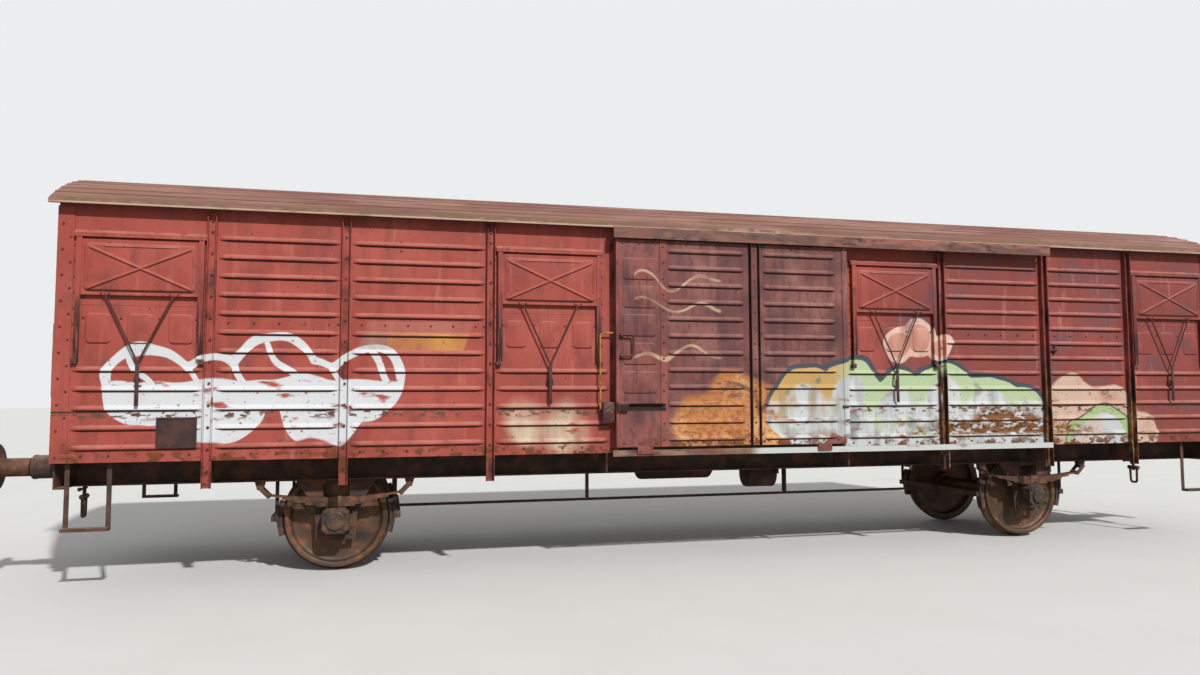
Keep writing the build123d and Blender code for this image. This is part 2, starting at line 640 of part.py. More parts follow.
def door_fittings():
    """Handle, latch ledge, roller hangers and guide shoes of the near door, closed."""
    handle_x = [DOOR_LEFT_X + inset for inset in HANDLE_INSETS]
    handle_z = [above_rail(height) for height in HANDLE_HEIGHTS]
    y_wall = -SHEET_HALF_WIDTH - DOOR_FACE
    y_grip = y_wall - HANDLE_OUT
    foot_x, grip_x = handle_x
    corner = [(foot_x, y_grip, handle_z[0]), (grip_x, y_grip, handle_z[0])]
    corner += [(grip_x, y_grip, handle_z[1]), (foot_x, y_grip, handle_z[1])]
    bars = [rod(a, b, HANDLE_RADIUS) for a, b in zip(corner, corner[1:])]
    bars += [rod((foot_x, y_wall, z), (foot_x, y_grip - HANDLE_RADIUS, z), HANDLE_RADIUS) for z in handle_z]
    handle = fused(bars[0], bars[1:])
    ledge_x = [DOOR_LEFT_X + inset for inset in LEDGE_INSETS]
    z = above_rail(LEDGE_HEIGHT)
    ledge = side_block(*ledge_x, DOOR_FACE + DOOR_EDGE_HEIGHT, DOOR_FACE + LEDGE_OUT, z - LEDGE_THICKNESS, z)
    ledge_root = side_block(
        DOOR_LEFT_X + DOOR_EDGE_WIDTH / 2,
        DOOR_LEFT_X + STRIP_COVER_START,
        DOOR_FACE,
        DOOR_FACE + DOOR_EDGE_HEIGHT,
        z - LEDGE_THICKNESS,
        z,
    )
    box_x = [DOOR_LEFT_X + inset for inset in LATCH_BOX_INSETS]
    box_z = [above_rail(height) for height in LATCH_BOX_HEIGHTS]
    root = DOOR_FACE + DOOR_EDGE_HEIGHT
    latch = side_block(*box_x, root, DOOR_FACE + LEDGE_OUT, box_z[0], z - LEDGE_THICKNESS)
    pieces = [handle, fused(ledge, [ledge_root, latch])]
    for x in (DOOR_LEFT_X + ROLLER_INSET, DOOR_RIGHT_X - ROLLER_INSET):
        pieces.append(roller_hanger(x))
        pieces.append(guide_shoe(x))
    return pieces


def roller_hanger(x):
    """A plate on the door's top with the roller that runs on the rail's ledge."""
    top = DOOR_TOP
    centre_z = ledge_z()[1] + SEAT_GAP + ROLLER_RADIUS
    half = HANGER_WIDTH / 2
    plate = side_block(x - half, x + half, DOOR_GAP, DOOR_GAP + HANGER_GAUGE, top, centre_z + HANGER_GAUGE)
    out = SHEET_HALF_WIDTH + DOOR_GAP + HANGER_GAUGE - SINK
    inner = SHEET_HALF_WIDTH + RAIL_COVER_DEPTH - RAIL_COVER_GAUGE - RAIL_LEDGE_WIDTH + SHOE_CLEARANCE
    pin = rod((x, -out, centre_z), (x, -inner, centre_z), ROLLER_RADIUS / 2)
    wheel = rod((x, -inner, centre_z), (x, -inner - ROLLER_WIDTH, centre_z), ROLLER_RADIUS)
    return fused(plate, [pin, wheel])


def guide_shoe(x):
    """Two cheeks under the door, one each side of the lower rail."""
    low = LOWER_RAIL_Z + LOWER_RAIL_DEPTH / 3
    high = DOOR_FOOT
    bridge = LOWER_RAIL_Z + LOWER_RAIL_DEPTH + SHOE_CLEARANCE
    inner = LOWER_RAIL_OUT - SHOE_CLEARANCE - SHOE_GAUGE
    outer = LOWER_RAIL_OUT + LOWER_RAIL_GAUGE + SHOE_CLEARANCE + SHOE_GAUGE
    half = SHOE_LENGTH / 2
    saddle = side_block(x - half, x + half, inner, outer, low, high)
    reach = half + SINK
    slot = side_block(x - reach, x + reach, inner + SHOE_GAUGE, outer - SHOE_GAUGE, low - SINK, bridge)
    return saddle - slot


def upper_rail():
    """The covered rail over the near door: cover, front plate and the ledge that the rollers run on."""
    top = EAVE_Z - RAIL_COVER_UNDER_EAVE
    low = top - RAIL_COVER_HEIGHT
    ledge_low, ledge_high = ledge_z()
    wall, front = -SHEET_HALF_WIDTH, -SHEET_HALF_WIDTH - RAIL_COVER_DEPTH
    gauge = RAIL_COVER_GAUGE
    ledge_edge = front + gauge + RAIL_LEDGE_WIDTH
    outline = [
        (wall, top),
        (front, top),
        (front, low),
        (front + gauge, low),
        (front + gauge, ledge_low),
        (ledge_edge, ledge_low),
        (ledge_edge, ledge_high),
        (front + gauge, ledge_high),
        (front + gauge, top - gauge),
        (wall, top - gauge),
    ]
    return prism_x(outline, -JAMB_OUTER_X, HALF_OPENING + DOOR_TRAVEL + RAIL_SPARE)


def lower_rail():
    """The bar that guides the near door's foot, with its brackets from the wall's foot."""
    low = LOWER_RAIL_Z
    end = HALF_OPENING + DOOR_TRAVEL + RAIL_SPARE
    face = LOWER_RAIL_OUT + LOWER_RAIL_GAUGE
    bar = side_block(-JAMB_OUTER_X, end, LOWER_RAIL_OUT, face, low, low + LOWER_RAIL_DEPTH)
    brackets = []
    middle = (HALF_OPENING + JAMB_OUTER_X) / 2
    past_door = (POSTS_X[2] - POST_WIDTH, (POSTS_X[1] + POSTS_X[2]) / 2, POSTS_X[1] - POST_WIDTH)
    for x in (-middle, 0, middle, *past_door):
        half = HANGER_GAUGE / 2
        arm_top = low + LOWER_RAIL_DEPTH / 3 - SHOE_CLEARANCE
        reach = WALL_THICKNESS
        brackets.append(side_block(x - half, x + half, -reach, LOWER_RAIL_OUT + SINK, low, arm_top))
        brackets.append(side_block(x - half, x + half, -reach, 0, low, SHEET_BOTTOM))
    return fused(bar, brackets)


# Underframe
def solebar():
    """The near solebar: a channel that opens outwards."""
    web, flange = SOLEBAR_WEB, SOLEBAR_FLANGE
    outline = [
        (-SOLEBAR_INNER_FACE, SOLEBAR_BOTTOM),
        (-SOLEBAR_OUTER, SOLEBAR_BOTTOM),
        (-SOLEBAR_OUTER, SOLEBAR_BOTTOM + flange),
        (-SOLEBAR_INNER_FACE - web, SOLEBAR_BOTTOM + flange),
        (-SOLEBAR_INNER_FACE - web, FLOOR_BOTTOM - flange),
        (-SOLEBAR_OUTER, FLOOR_BOTTOM - flange),
        (-SOLEBAR_OUTER, FLOOR_BOTTOM),
        (-SOLEBAR_INNER_FACE, FLOOR_BOTTOM),
    ]
    reach = END_SHEET_X - HEADSTOCK_DEPTH
    return prism_x(outline, -reach, reach)


def headstock():
    """The right-hand headstock: a channel whose flanges point inwards."""
    outer, inner = END_SHEET_X, END_SHEET_X - HEADSTOCK_DEPTH
    gauge = HEADSTOCK_GAUGE
    outline = [
        (inner, SOLEBAR_BOTTOM),
        (outer, SOLEBAR_BOTTOM),
        (outer, FLOOR_BOTTOM),
        (inner, FLOOR_BOTTOM),
        (inner, FLOOR_BOTTOM - gauge),
        (outer - gauge, FLOOR_BOTTOM - gauge),
        (outer - gauge, SOLEBAR_BOTTOM + gauge),
        (inner, SOLEBAR_BOTTOM + gauge),
    ]
    return prism_y(outline, -HEADSTOCK_HALF_WIDTH, HEADSTOCK_HALF_WIDTH)


BRAKE_BEAM_FROM_AXLE = 600.0
LAST_BEARER_FROM_END = 680.0


def crossbearers():
    """Bearers between the solebars, at the door, the posts and over each brake beam."""
    places = [
        HALF_OPENING,
        POSTS_X[2],
        WHEELBASE / 2 - BRAKE_BEAM_FROM_AXLE,
        WHEELBASE / 2 + BRAKE_BEAM_FROM_AXLE,
        HALF_BODY - LAST_BEARER_FROM_END,
    ]
    half = BEARER_WIDTH / 2
    bearer = block(-half, half, -SOLEBAR_INNER_FACE, SOLEBAR_INNER_FACE, BEARER_BOTTOM, FLOOR_BOTTOM)
    return [bearer] + [shape for x in places for shape in both_ends(Pos(x, 0, 0) * bearer)]


def centre_sills():
    reach = END_SHEET_X - HEADSTOCK_DEPTH
    middle, half = CENTRE_SILL_SPACING / 2, CENTRE_SILL_WIDTH / 2
    sill = block(-reach, reach, middle - half, middle + half, BEARER_BOTTOM - CENTRE_SILL_DEPTH, BEARER_BOTTOM)
    return [sill, mirror(sill, about=Plane.XZ)]


def side_sill():
    """The near angle under the floor's edge, behind the wall sheet's foot."""
    outer, inner = -INNER_HALF_WIDTH, SIDE_SILL_WIDTH - INNER_HALF_WIDTH
    outline = [
        (outer, SHEET_BOTTOM),
        (outer, FLOOR_BOTTOM),
        (inner, FLOOR_BOTTOM),
        (inner, FLOOR_BOTTOM - SIDE_SILL_GAUGE),
        (outer + SIDE_SILL_GAUGE, FLOOR_BOTTOM - SIDE_SILL_GAUGE),
        (outer + SIDE_SILL_GAUGE, SHEET_BOTTOM),
    ]
    reach = END_SHEET_X - HEADSTOCK_DEPTH
    return prism_x(outline, -reach, reach)


def outriggers():
    """Plates from the solebar out to the foot of each post, and one at each door jamb."""
    low = SOLEBAR_BOTTOM
    inner_sill = INNER_HALF_WIDTH - SIDE_SILL_WIDTH
    plates = []
    for x in [*POSTS_X, (HALF_OPENING + JAMB_OUTER_X) / 2 + JAMB_WIDTH]:
        outline = [
            (-SOLEBAR_OUTER, low),
            (-SHEET_HALF_WIDTH, low + OUTRIGGER_RISE),
            (-SHEET_HALF_WIDTH, SHEET_BOTTOM),
            (-inner_sill, SHEET_BOTTOM),
            (-inner_sill, FLOOR_BOTTOM),
            (-SOLEBAR_OUTER, FLOOR_BOTTOM),
        ]
        half = OUTRIGGER_GAUGE / 2
        plates.extend(four_corners(prism_x(outline, x - half, x + half)))
    return plates


def floor():
    """The floor, one slab of planks laid across the wagon."""
    reach = END_SHEET_X - WALL_THICKNESS
    return block(-reach, reach, -INNER_HALF_WIDTH, INNER_HALF_WIDTH, FLOOR_BOTTOM, FLOOR_TOP)


# Running gear
FLANGE_THICKNESS = 32.0
FLANGE_CREST = 15.0
WEB_GAUGE = 50.0
WHEEL_SIDES = 28
ROUND_SIDES = 18
HUB_PROUD = 30.0
JOURNAL_SHOULDER = 15.0
JOURNAL_END_GAP = 10.0


def wheel():
    """The wheel on the far end of the axle, from short flats that lie on the real radii at their middles."""
    back = BACK_TO_BACK / 2
    tip = TREAD_RADIUS + FLANGE_DEPTH
    rim_inner = TREAD_RADIUS - RIM_DEPTH
    throat = FLANGE_THICKNESS - FLANGE_CREST
    # Distance from the wheel's back, radius at the start and end, and length along the axle
    rings = [
        (FLANGE_CREST, tip, TREAD_RADIUS, throat),
        (FLANGE_CREST, TREAD_RADIUS, TREAD_RADIUS, RIM_WIDTH - FLANGE_CREST),
    ]
    flange = frustum(tip, tip, FLANGE_CREST, WHEEL_SIDES)
    turned_rings = [Pos(0, 0, z) * frustum(start, end, length, WHEEL_SIDES) for z, start, end, length in rings]
    body = fused(flange, turned_rings)
    recess = Pos(0, 0, WEB_GAUGE) * frustum(rim_inner, rim_inner, RIM_WIDTH, WHEEL_SIDES)
    hub = frustum(HUB_RADIUS, HUB_RADIUS, RIM_WIDTH + HUB_PROUD, ROUND_SIDES)
    return Plane(origin=(0, back, 0), x_dir=(1, 0, 0), z_dir=(0, 1, 0)) * fused(body - recess, [hub])


def wheelset(x):
    """Two wheels on their axle, with a journal at each end."""
    journal_start = BOX_START - JOURNAL_SHOULDER
    journal_end = BOX_START + BOX_LENGTH - BOX_END_WALL - JOURNAL_END_GAP
    middle = Plane(origin=(0, -journal_start, 0), x_dir=(1, 0, 0), z_dir=(0, 1, 0))
    axle = middle * frustum(AXLE_RADIUS, AXLE_RADIUS, 2 * journal_start, ROUND_SIDES)
    journal = drum((0, -journal_end, 0), (0, journal_end, 0), JOURNAL_RADIUS)
    far_wheel = wheel()
    return Pos(x, 0, AXLE_Z) * fused(axle, [journal, far_wheel, mirror(far_wheel, about=Plane.XZ)])


BOX_WIDTH = 250.0
BOX_HEIGHT = 240.0
BOX_START = 885.0
BOX_LENGTH = 225.0
BOX_END_WALL = 25.0
BOX_CORNER = 40.0
BOX_COVER_RADIUS = 88.0
BOX_COVER_DEPTH = 22.0
GUARD_GAUGE = 13.0
GUARD_GAP = 0.5
GUARD_LEG = 60.0
GUARD_HALF_TOP = 430.0
GUARD_TOP_DROP = 50.0
GUARD_NECK_RISE = 60.0
GUARD_FOOT_DROP = 80.0
GUARD_FLARE = 20.0
GUARD_SLOT_RISE = 35.0
GUARD_SLOT_DROP = 40.0
SPRING_CENTRE_Y = 1000.0
SPRING_WIDTH = 90.0
SPRING_HALF_LENGTH = 600.0
SPRING_CAMBER = 40.0
LEAF_COUNT = 5
LEAF_GAUGE = 18.0
LEAF_STEP = 105.0
BUCKLE_WIDTH = 110.0
BUCKLE_WALL = 10.0
EYE_RADIUS = 24.0
EYE_LAP = 4.0
PIN_RADIUS = 20.0
LINK_RUN = 78.0
LINK_GAUGE = 12.0


def axlebox():
    """The near right axlebox, its bore round the journal."""
    plane = Plane(origin=(0, -BOX_START, AXLE_Z), x_dir=(1, 0, 0), z_dir=(0, -1, 0))
    x, z, cut = BOX_WIDTH / 2, BOX_HEIGHT / 2, BOX_CORNER
    half = [(x, cut - z), (x, z - cut), (x - cut, z), (cut - x, z)]
    section = make_face(Polyline(*half, *[(-a, -b) for a, b in half], close=True))
    body = extrude(plane * section, amount=BOX_LENGTH)
    bore = extrude(plane * Circle(JOURNAL_RADIUS + JOURNAL_CLEARANCE), amount=BOX_LENGTH - BOX_END_WALL)
    cover = extrude(plane.offset(BOX_LENGTH) * RegularPolygon(BOX_COVER_RADIUS, 8), amount=BOX_COVER_DEPTH)
    return Pos(WHEELBASE / 2, 0, 0) * fused(body - bore, [cover])


def axle_guard():
    """The plate that is bolted behind the solebar and straddles the axlebox."""
    gap = BOX_WIDTH / 2 + GUARD_GAP
    leg = gap + GUARD_LEG
    top = FLOOR_BOTTOM - SOLEBAR_FLANGE - GUARD_TOP_DROP
    neck = SOLEBAR_BOTTOM + GUARD_NECK_RISE
    foot = AXLE_Z - BOX_HEIGHT / 2 - GUARD_FOOT_DROP
    waist = (leg + GUARD_FLARE, AXLE_Z + BOX_HEIGHT / 2)
    outer = [(GUARD_HALF_TOP, top), (GUARD_HALF_TOP, neck), waist, (leg, foot)]
    outline = outer + [(-x, z) for x, z in reversed(outer)]
    plate = prism_y(outline, -SOLEBAR_INNER_FACE, -SOLEBAR_INNER_FACE + GUARD_GAUGE)
    slot_foot, slot_top = foot + GUARD_SLOT_RISE, SOLEBAR_BOTTOM - GUARD_SLOT_DROP
    slot = block(-gap, gap, -SOLEBAR_OUTER, 0, slot_foot, slot_top)
    return Pos(WHEELBASE / 2, 0, 0) * (plate - slot)


def spring_top(x):
    """Height of the main leaf's upper face at a distance x from the axle."""
    base = AXLE_Z + BOX_HEIGHT / 2 + BUCKLE_WALL + LEAF_COUNT * LEAF_GAUGE
    return base + SPRING_CAMBER * (x / SPRING_HALF_LENGTH) ** 2


def leaf_spring():
    """A stepped pack of leaves in its buckle, on the near right axlebox."""
    half = SPRING_HALF_LENGTH
    steps = [(half, spring_top(half))]
    for leaf in range(LEAF_COUNT):
        end = half - leaf * LEAF_STEP
        steps.append((end, spring_top(end) - leaf * LEAF_GAUGE))
        steps.append((end, spring_top(end) - (leaf + 1) * LEAF_GAUGE))
    outline = steps[1:] + [(-x, z) for x, z in reversed(steps[1:])]
    edges = [
        Polyline(*outline),
        ThreePointArc(outline[-1], (0, spring_top(0)), outline[0]),
    ]
    near = -SPRING_CENTRE_Y + SPRING_WIDTH / 2
    plane = Plane(origin=(0, near, 0), x_dir=(1, 0, 0), z_dir=(0, -1, 0))
    pack = extrude(plane * make_face(edges), amount=SPRING_WIDTH)
    side = SPRING_WIDTH / 2 + BUCKLE_WALL
    box_top = AXLE_Z + BOX_HEIGHT / 2
    top = spring_top(BUCKLE_WIDTH / 2) + BUCKLE_WALL
    end = BUCKLE_WIDTH / 2
    buckle = block(-end, end, -SPRING_CENTRE_Y - side, -SPRING_CENTRE_Y + side, box_top, top)
    ends = []
    eye_z = spring_top(half) - LEAF_GAUGE / 2
    for sign in (-1, 1):
        x = sign * (half + EYE_RADIUS - EYE_LAP)
        ends.append(rod((x, near, eye_z), (x, near - SPRING_WIDTH, eye_z), EYE_RADIUS))
    return Pos(WHEELBASE / 2, 0, 0) * fused(pack, [buckle, *ends])


def spring_link(sign):
    """A pair of link plates from the spring's eye up to a bracket under the solebar."""
    low_x = sign * (SPRING_HALF_LENGTH + EYE_RADIUS - EYE_LAP)
    high_x = low_x + sign * LINK_RUN
    low_z = spring_top(SPRING_HALF_LENGTH) - LEAF_GAUGE / 2
    high_z = (low_z + SOLEBAR_BOTTOM) / 2 + EYE_RADIUS / 2
    inner = SPRING_CENTRE_Y - SPRING_WIDTH / 2 - SEAT_GAP
    outer = SPRING_CENTRE_Y + SPRING_WIDTH / 2 + SEAT_GAP
    length = math.hypot(high_x - low_x, high_z - low_z)
    run, rise = (high_x - low_x) / length * PIN_RADIUS, (high_z - low_z) / length * PIN_RADIUS
    # Each plate reaches a pin's radius past both pins, and is two pin radii wide
    corners = [
        (low_x - run - rise, low_z - rise + run),
        (low_x - run + rise, low_z - rise - run),
        (high_x + run + rise, high_z + rise - run),
        (high_x + run - rise, high_z + rise + run),
    ]
    pieces = [rod((high_x, -inner + LINK_GAUGE, high_z), (high_x, -outer - LINK_GAUGE, high_z), PIN_RADIUS)]
    for y in (-inner, -outer - LINK_GAUGE):
        pieces.append(prism_y(corners, y, y + LINK_GAUGE))
    half = SPRING_WIDTH / 2 - LINK_GAUGE
    bracket_outline = [
        (high_x - EYE_RADIUS, high_z - EYE_RADIUS),
        (high_x + EYE_RADIUS, high_z - EYE_RADIUS),
        (high_x + 2 * EYE_RADIUS, SOLEBAR_BOTTOM),
        (high_x - 2 * EYE_RADIUS, SOLEBAR_BOTTOM),
    ]
    pieces.append(prism_y(bracket_outline, -SPRING_CENTRE_Y - half, -SPRING_CENTRE_Y + half))
    return Pos(WHEELBASE / 2, 0, 0) * fused(pieces[0], pieces[1:])


def spring_links():
    return [piece for sign in (-1, 1) for piece in four_corners(spring_link(sign))]


# Brake gear
BLOCK_CLEARANCE = 14.0
BLOCK_THICKNESS = 50.0
BLOCK_HALF_ANGLE = 18.0
BLOCK_START = 722.0
BLOCK_WIDTH = 82.0
BEAM_SIZE = 56.0
LINK_STRIP = 12.0
LINK_STRIP_WIDTH = 35.0


def brake_block():
    """The near right wheel's outer brake block on its link: three flats that lie on its radii."""
    flat = math.cos(math.radians(BLOCK_HALF_ANGLE / 3))
    back = TREAD_RADIUS + BLOCK_CLEARANCE + BLOCK_THICKNESS
    inner, outer = (back - BLOCK_THICKNESS) / flat, back / flat
    angles = [math.radians(BLOCK_HALF_ANGLE) * step for step in (-1, -1 / 3, 1 / 3, 1)]
    arc = [(outer * math.cos(angle), outer * math.sin(angle)) for angle in angles]
    arc += [(inner * math.cos(angle), inner * math.sin(angle)) for angle in reversed(angles)]
    side = -BLOCK_START - BLOCK_WIDTH
    block_shape = Pos(0, 0, AXLE_Z) * prism_y(arc, side, -BLOCK_START)
    start = back - LINK_STRIP_WIDTH / 2
    foot = AXLE_Z - BEAM_SIZE / 2
    link = block(start, start + LINK_STRIP_WIDTH, side - LINK_STRIP, side, foot, BEARER_BOTTOM)
    return fused(block_shape, [link])


def brake_blocks():
    pair = both_ends(brake_block())
    return [shape for piece in pair for shape in four_corners(Pos(WHEELBASE / 2, 0, 0) * piece)]


def brake_beams():
    """Four beams across the wagon, each on the backs of two blocks and between their links."""
    half_length, half = BLOCK_START + BLOCK_WIDTH - SEAT_GAP, BEAM_SIZE / 2
    reach = TREAD_RADIUS + BLOCK_CLEARANCE + BLOCK_THICKNESS + half + SEAT_GAP
    beams = []
    for x in (WHEELBASE / 2 - reach, WHEELBASE / 2 + reach):
        beams += both_ends(block(x - half, x + half, -half_length, half_length, AXLE_Z - half, AXLE_Z + half))
    return beams


CYLINDER_RADIUS = 170.0
CYLINDER_LENGTH = 380.0
CYLINDER_X = 700.0
TANK_RADIUS = 190.0
TANK_LENGTH = 900.0
TANK_Y = 560.0
TANK_DOME = 60.0
TANK_SADDLE = 80.0
CYLINDER_UNDER_SILL = 20.0
CYLINDER_FLANGE = 30.0
TANK_UNDER_BEARER = 30.0
MAIN_ROD_RADIUS = 16.0
SLING_GAUGE = 24.0
SLING_WIDTH = 80.0


def brake_vessels():
    """Brake cylinder under the centre sills and air reservoir beside them, each in its saddle."""
    under = BEARER_BOTTOM - CENTRE_SILL_DEPTH
    cylinder_z = under - CYLINDER_RADIUS - CYLINDER_UNDER_SILL
    barrel = frustum(CYLINDER_RADIUS, CYLINDER_RADIUS, CYLINDER_LENGTH, HEAD_SIDES)
    cylinder = end_plane(0, cylinder_z, CYLINDER_X) * barrel
    reach = CENTRE_SILL_SPACING / 2
    end_x = CYLINDER_X + CYLINDER_LENGTH
    flange = block(end_x - CYLINDER_FLANGE, end_x, -reach, reach, cylinder_z, under)
    tank_z = BEARER_BOTTOM - TANK_RADIUS - TANK_UNDER_BEARER
    drum_end = frustum(TANK_RADIUS, TANK_RADIUS / 2, TANK_DOME, HEAD_SIDES)
    half_tank = frustum(TANK_RADIUS, TANK_RADIUS, TANK_LENGTH / 2, HEAD_SIDES)
    half_tank = fused(half_tank, [Pos(0, 0, TANK_LENGTH / 2) * drum_end])
    half_tank = end_plane(TANK_Y, tank_z, 0) * half_tank
    tank = fused(half_tank, [mirror(half_tank, about=Plane.YZ)])
    half = BEARER_WIDTH / 2
    saddle = block(-half, half, TANK_Y - TANK_SADDLE, TANK_Y + TANK_SADDLE, tank_z, BEARER_BOTTOM)
    return [fused(cylinder, [flange]), fused(tank, [saddle])]


def brake_rods():
    """The pull rod between the inner brake beams, on the centre line, and the two slings over it."""
    inner = WHEELBASE / 2 - TREAD_RADIUS - BLOCK_CLEARANCE - BLOCK_THICKNESS - BEAM_SIZE - 2 * SEAT_GAP
    main_rod = rod((-inner, 0, AXLE_Z), (inner, 0, AXLE_Z), MAIN_ROD_RADIUS)
    half, reach = SLING_GAUGE / 2, SLING_WIDTH / 2
    foot = AXLE_Z + MAIN_ROD_RADIUS + SEAT_GAP
    sling = block(-half, half, -reach, reach, foot, BEARER_BOTTOM)
    slings = [Pos(x, 0, 0) * sling for x in (-HALF_OPENING, HALF_OPENING)]
    return [main_rod, *slings]


# Buffers, draw hooks and couplings
def buffer_casing():
    """The near right buffer's casing: base plate, tube and the bore for the plunger."""
    plane = end_plane(-BUFFER_SPACING / 2, BUFFER_Z, END_SHEET_X)
    plate = extrude(plane * Rectangle(BUFFER_PLATE, BUFFER_PLATE_HEIGHT), amount=BUFFER_PLATE_GAUGE)
    tube = frustum(BUFFER_CASING_RADIUS, BUFFER_CASING_RADIUS, CASING_LENGTH, HEAD_SIDES)
    bore_radius = BUFFER_PLUNGER_RADIUS + CASING_CLEARANCE
    bore = frustum(bore_radius, bore_radius, CASING_LENGTH, HEAD_SIDES)
    casing = fused(plate, [plane.offset(BUFFER_PLATE_GAUGE) * tube])
    return casing - plane.offset(BUFFER_PLATE_GAUGE + CASING_FLOOR) * bore


def buffer_plunger():
    """The near right buffer's plunger and its head, flat in the middle and rolled back at the rim."""
    y, z = -BUFFER_SPACING / 2, BUFFER_Z
    start = END_SHEET_X + BUFFER_PLATE_GAUGE + CASING_FLOOR
    rim, stem = BUFFER_HEAD_RADIUS, BUFFER_PLUNGER_RADIUS
    # Distance back from the face, radius at the start and end, and length of each part of the head
    rings = [
        (HEAD_THICKNESS + HEAD_NECK, stem, rim, HEAD_NECK),
        (HEAD_THICKNESS, rim, rim, HEAD_THICKNESS - HEAD_CROWN),
        (HEAD_CROWN, rim, rim - HEAD_ROLL, HEAD_CROWN),
    ]
    back = BUFFER_FACE_X - HEAD_THICKNESS
    plunger = end_plane(y, z, start) * frustum(stem, stem, back - start, HEAD_SIDES)
    parts = []
    for from_face, first, last, length in rings:
        parts.append(end_plane(y, z, BUFFER_FACE_X - from_face) * frustum(first, last, length, HEAD_SIDES))
    return fused(plunger, parts)


HOOK_GAUGE = 50.0
HOOK_PLATE = 260.0
HOOK_PLATE_HEIGHT = 182.0
HOOK_PLATE_GAUGE = 18.0
HOOK_REACH = 250.0
HOOK_RISE = 35.0
HOOK_RADIUS = 80.0
HOOK_THROAT = 36.0
HOOK_RING_SIDES = 12
HOOK_MOUTH = (140.0, 120.0)
HOOK_MOUTH_PAST = 10.0
SHANK_OVER = 25.0
SHANK_UNDER = 45.0
HOOK_PIN_OUT = 130.0
HOOK_PIN_DROP = 10.0
HOOK_PIN_RADIUS = 18.0
HOOK_PIN_REACH = 75.0


def draw_hook():
    """The right-hand draw hook with its guide plate, shank, open ring and coupling pin."""
    plane = end_plane(0, BUFFER_Z, END_SHEET_X)
    plate = extrude(plane * Rectangle(HOOK_PLATE, HOOK_PLATE_HEIGHT), amount=HOOK_PLATE_GAUGE)
    half = HOOK_GAUGE / 2
    centre_x, centre_z = END_SHEET_X + HOOK_REACH, BUFFER_Z + HOOK_RISE
    shank_x = END_SHEET_X + HOOK_PLATE_GAUGE
    shank_end = centre_x - HOOK_THROAT / 2
    shank = block(shank_x, shank_end, -half, half, BUFFER_Z - SHANK_UNDER, BUFFER_Z + SHANK_OVER)
    front = Plane(origin=(centre_x, half, centre_z), x_dir=(1, 0, 0), z_dir=(0, -1, 0))
    mouth_x, mouth_z = HOOK_MOUTH
    ring = RegularPolygon(HOOK_RADIUS, HOOK_RING_SIDES)
    throat = RegularPolygon(HOOK_THROAT, HOOK_RING_SIDES)
    mouth = Pos(-mouth_x / 2 + HOOK_MOUTH_PAST, mouth_z / 2) * Rectangle(mouth_x, mouth_z)
    horn = extrude(front * (ring - mouth), amount=HOOK_GAUGE)
    hole = extrude(front * throat, amount=HOOK_GAUGE)
    pin_x, pin_z = END_SHEET_X + HOOK_PIN_OUT, BUFFER_Z - HOOK_PIN_DROP
    pin = rod((pin_x, -HOOK_PIN_REACH, pin_z), (pin_x, HOOK_PIN_REACH, pin_z), HOOK_PIN_RADIUS)
    return fused(plate, [shank - hole, horn - hole, pin])


NUT_DROP = 190.0
LOW_NUT_DROP = 360.0
BOW_DROP = 560.0
STRAP_Y = 60.0
STRAP_SIZE = (44.0, 18.0)
NUT_RADIUS = 26.0
NUT_REACH = 85.0
BOW_RADIUS = 16.0
BOW_TOP_Y = 55.0
BOW_FOOT_Y = 48.0
SCREW_RADIUS = 20.0
SCREW_OVER = 60.0
SCREW_UNDER = 40.0
TOMMY_RADIUS = 12.0
TOMMY_ENDS = (-70.0, 170.0)


def coupling():
    """The right-hand screw coupling, hanging from the hook's pin."""
    x = END_SHEET_X + HOOK_PIN_OUT
    top = BUFFER_Z - HOOK_PIN_DROP
    nut_z, low_nut_z, bow_z = top - NUT_DROP, top - LOW_NUT_DROP, top - BOW_DROP
    wide, thin = STRAP_SIZE[0] / 2, STRAP_SIZE[1] / 2
    strap_top = top - HOOK_PIN_RADIUS - SEAT_GAP
    pieces = []
    for side in (-1, 1):
        y = side * STRAP_Y
        pieces.append(block(x - wide, x + wide, y - thin, y + thin, nut_z - wide, strap_top))
        pieces.append(rod((x, side * BOW_TOP_Y, low_nut_z), (x, side * BOW_FOOT_Y, bow_z), BOW_RADIUS))
    for z in (nut_z, low_nut_z):
        pieces.append(rod((x, -NUT_REACH, z), (x, NUT_REACH, z), NUT_RADIUS))
    pieces.append(rod((x, 0, nut_z + SCREW_OVER), (x, 0, low_nut_z - SCREW_UNDER), SCREW_RADIUS))
    bow_reach = BOW_FOOT_Y + BOW_RADIUS
    pieces.append(rod((x, -bow_reach, bow_z), (x, bow_reach, bow_z), BOW_RADIUS))
    middle = (nut_z + low_nut_z) / 2
    pieces.append(rod((x, TOMMY_ENDS[0], middle), (x, TOMMY_ENDS[1], middle), TOMMY_RADIUS))
    return fused(pieces[0], pieces[1:])


# Small fixed pieces
HANDRAIL_RADIUS = 9.0
DOOR_RAIL_FROM_END = 4950.0
DOOR_RAIL_HEIGHTS = (1555.0, 2335.0)
DOOR_RAIL_OUT = 60.0


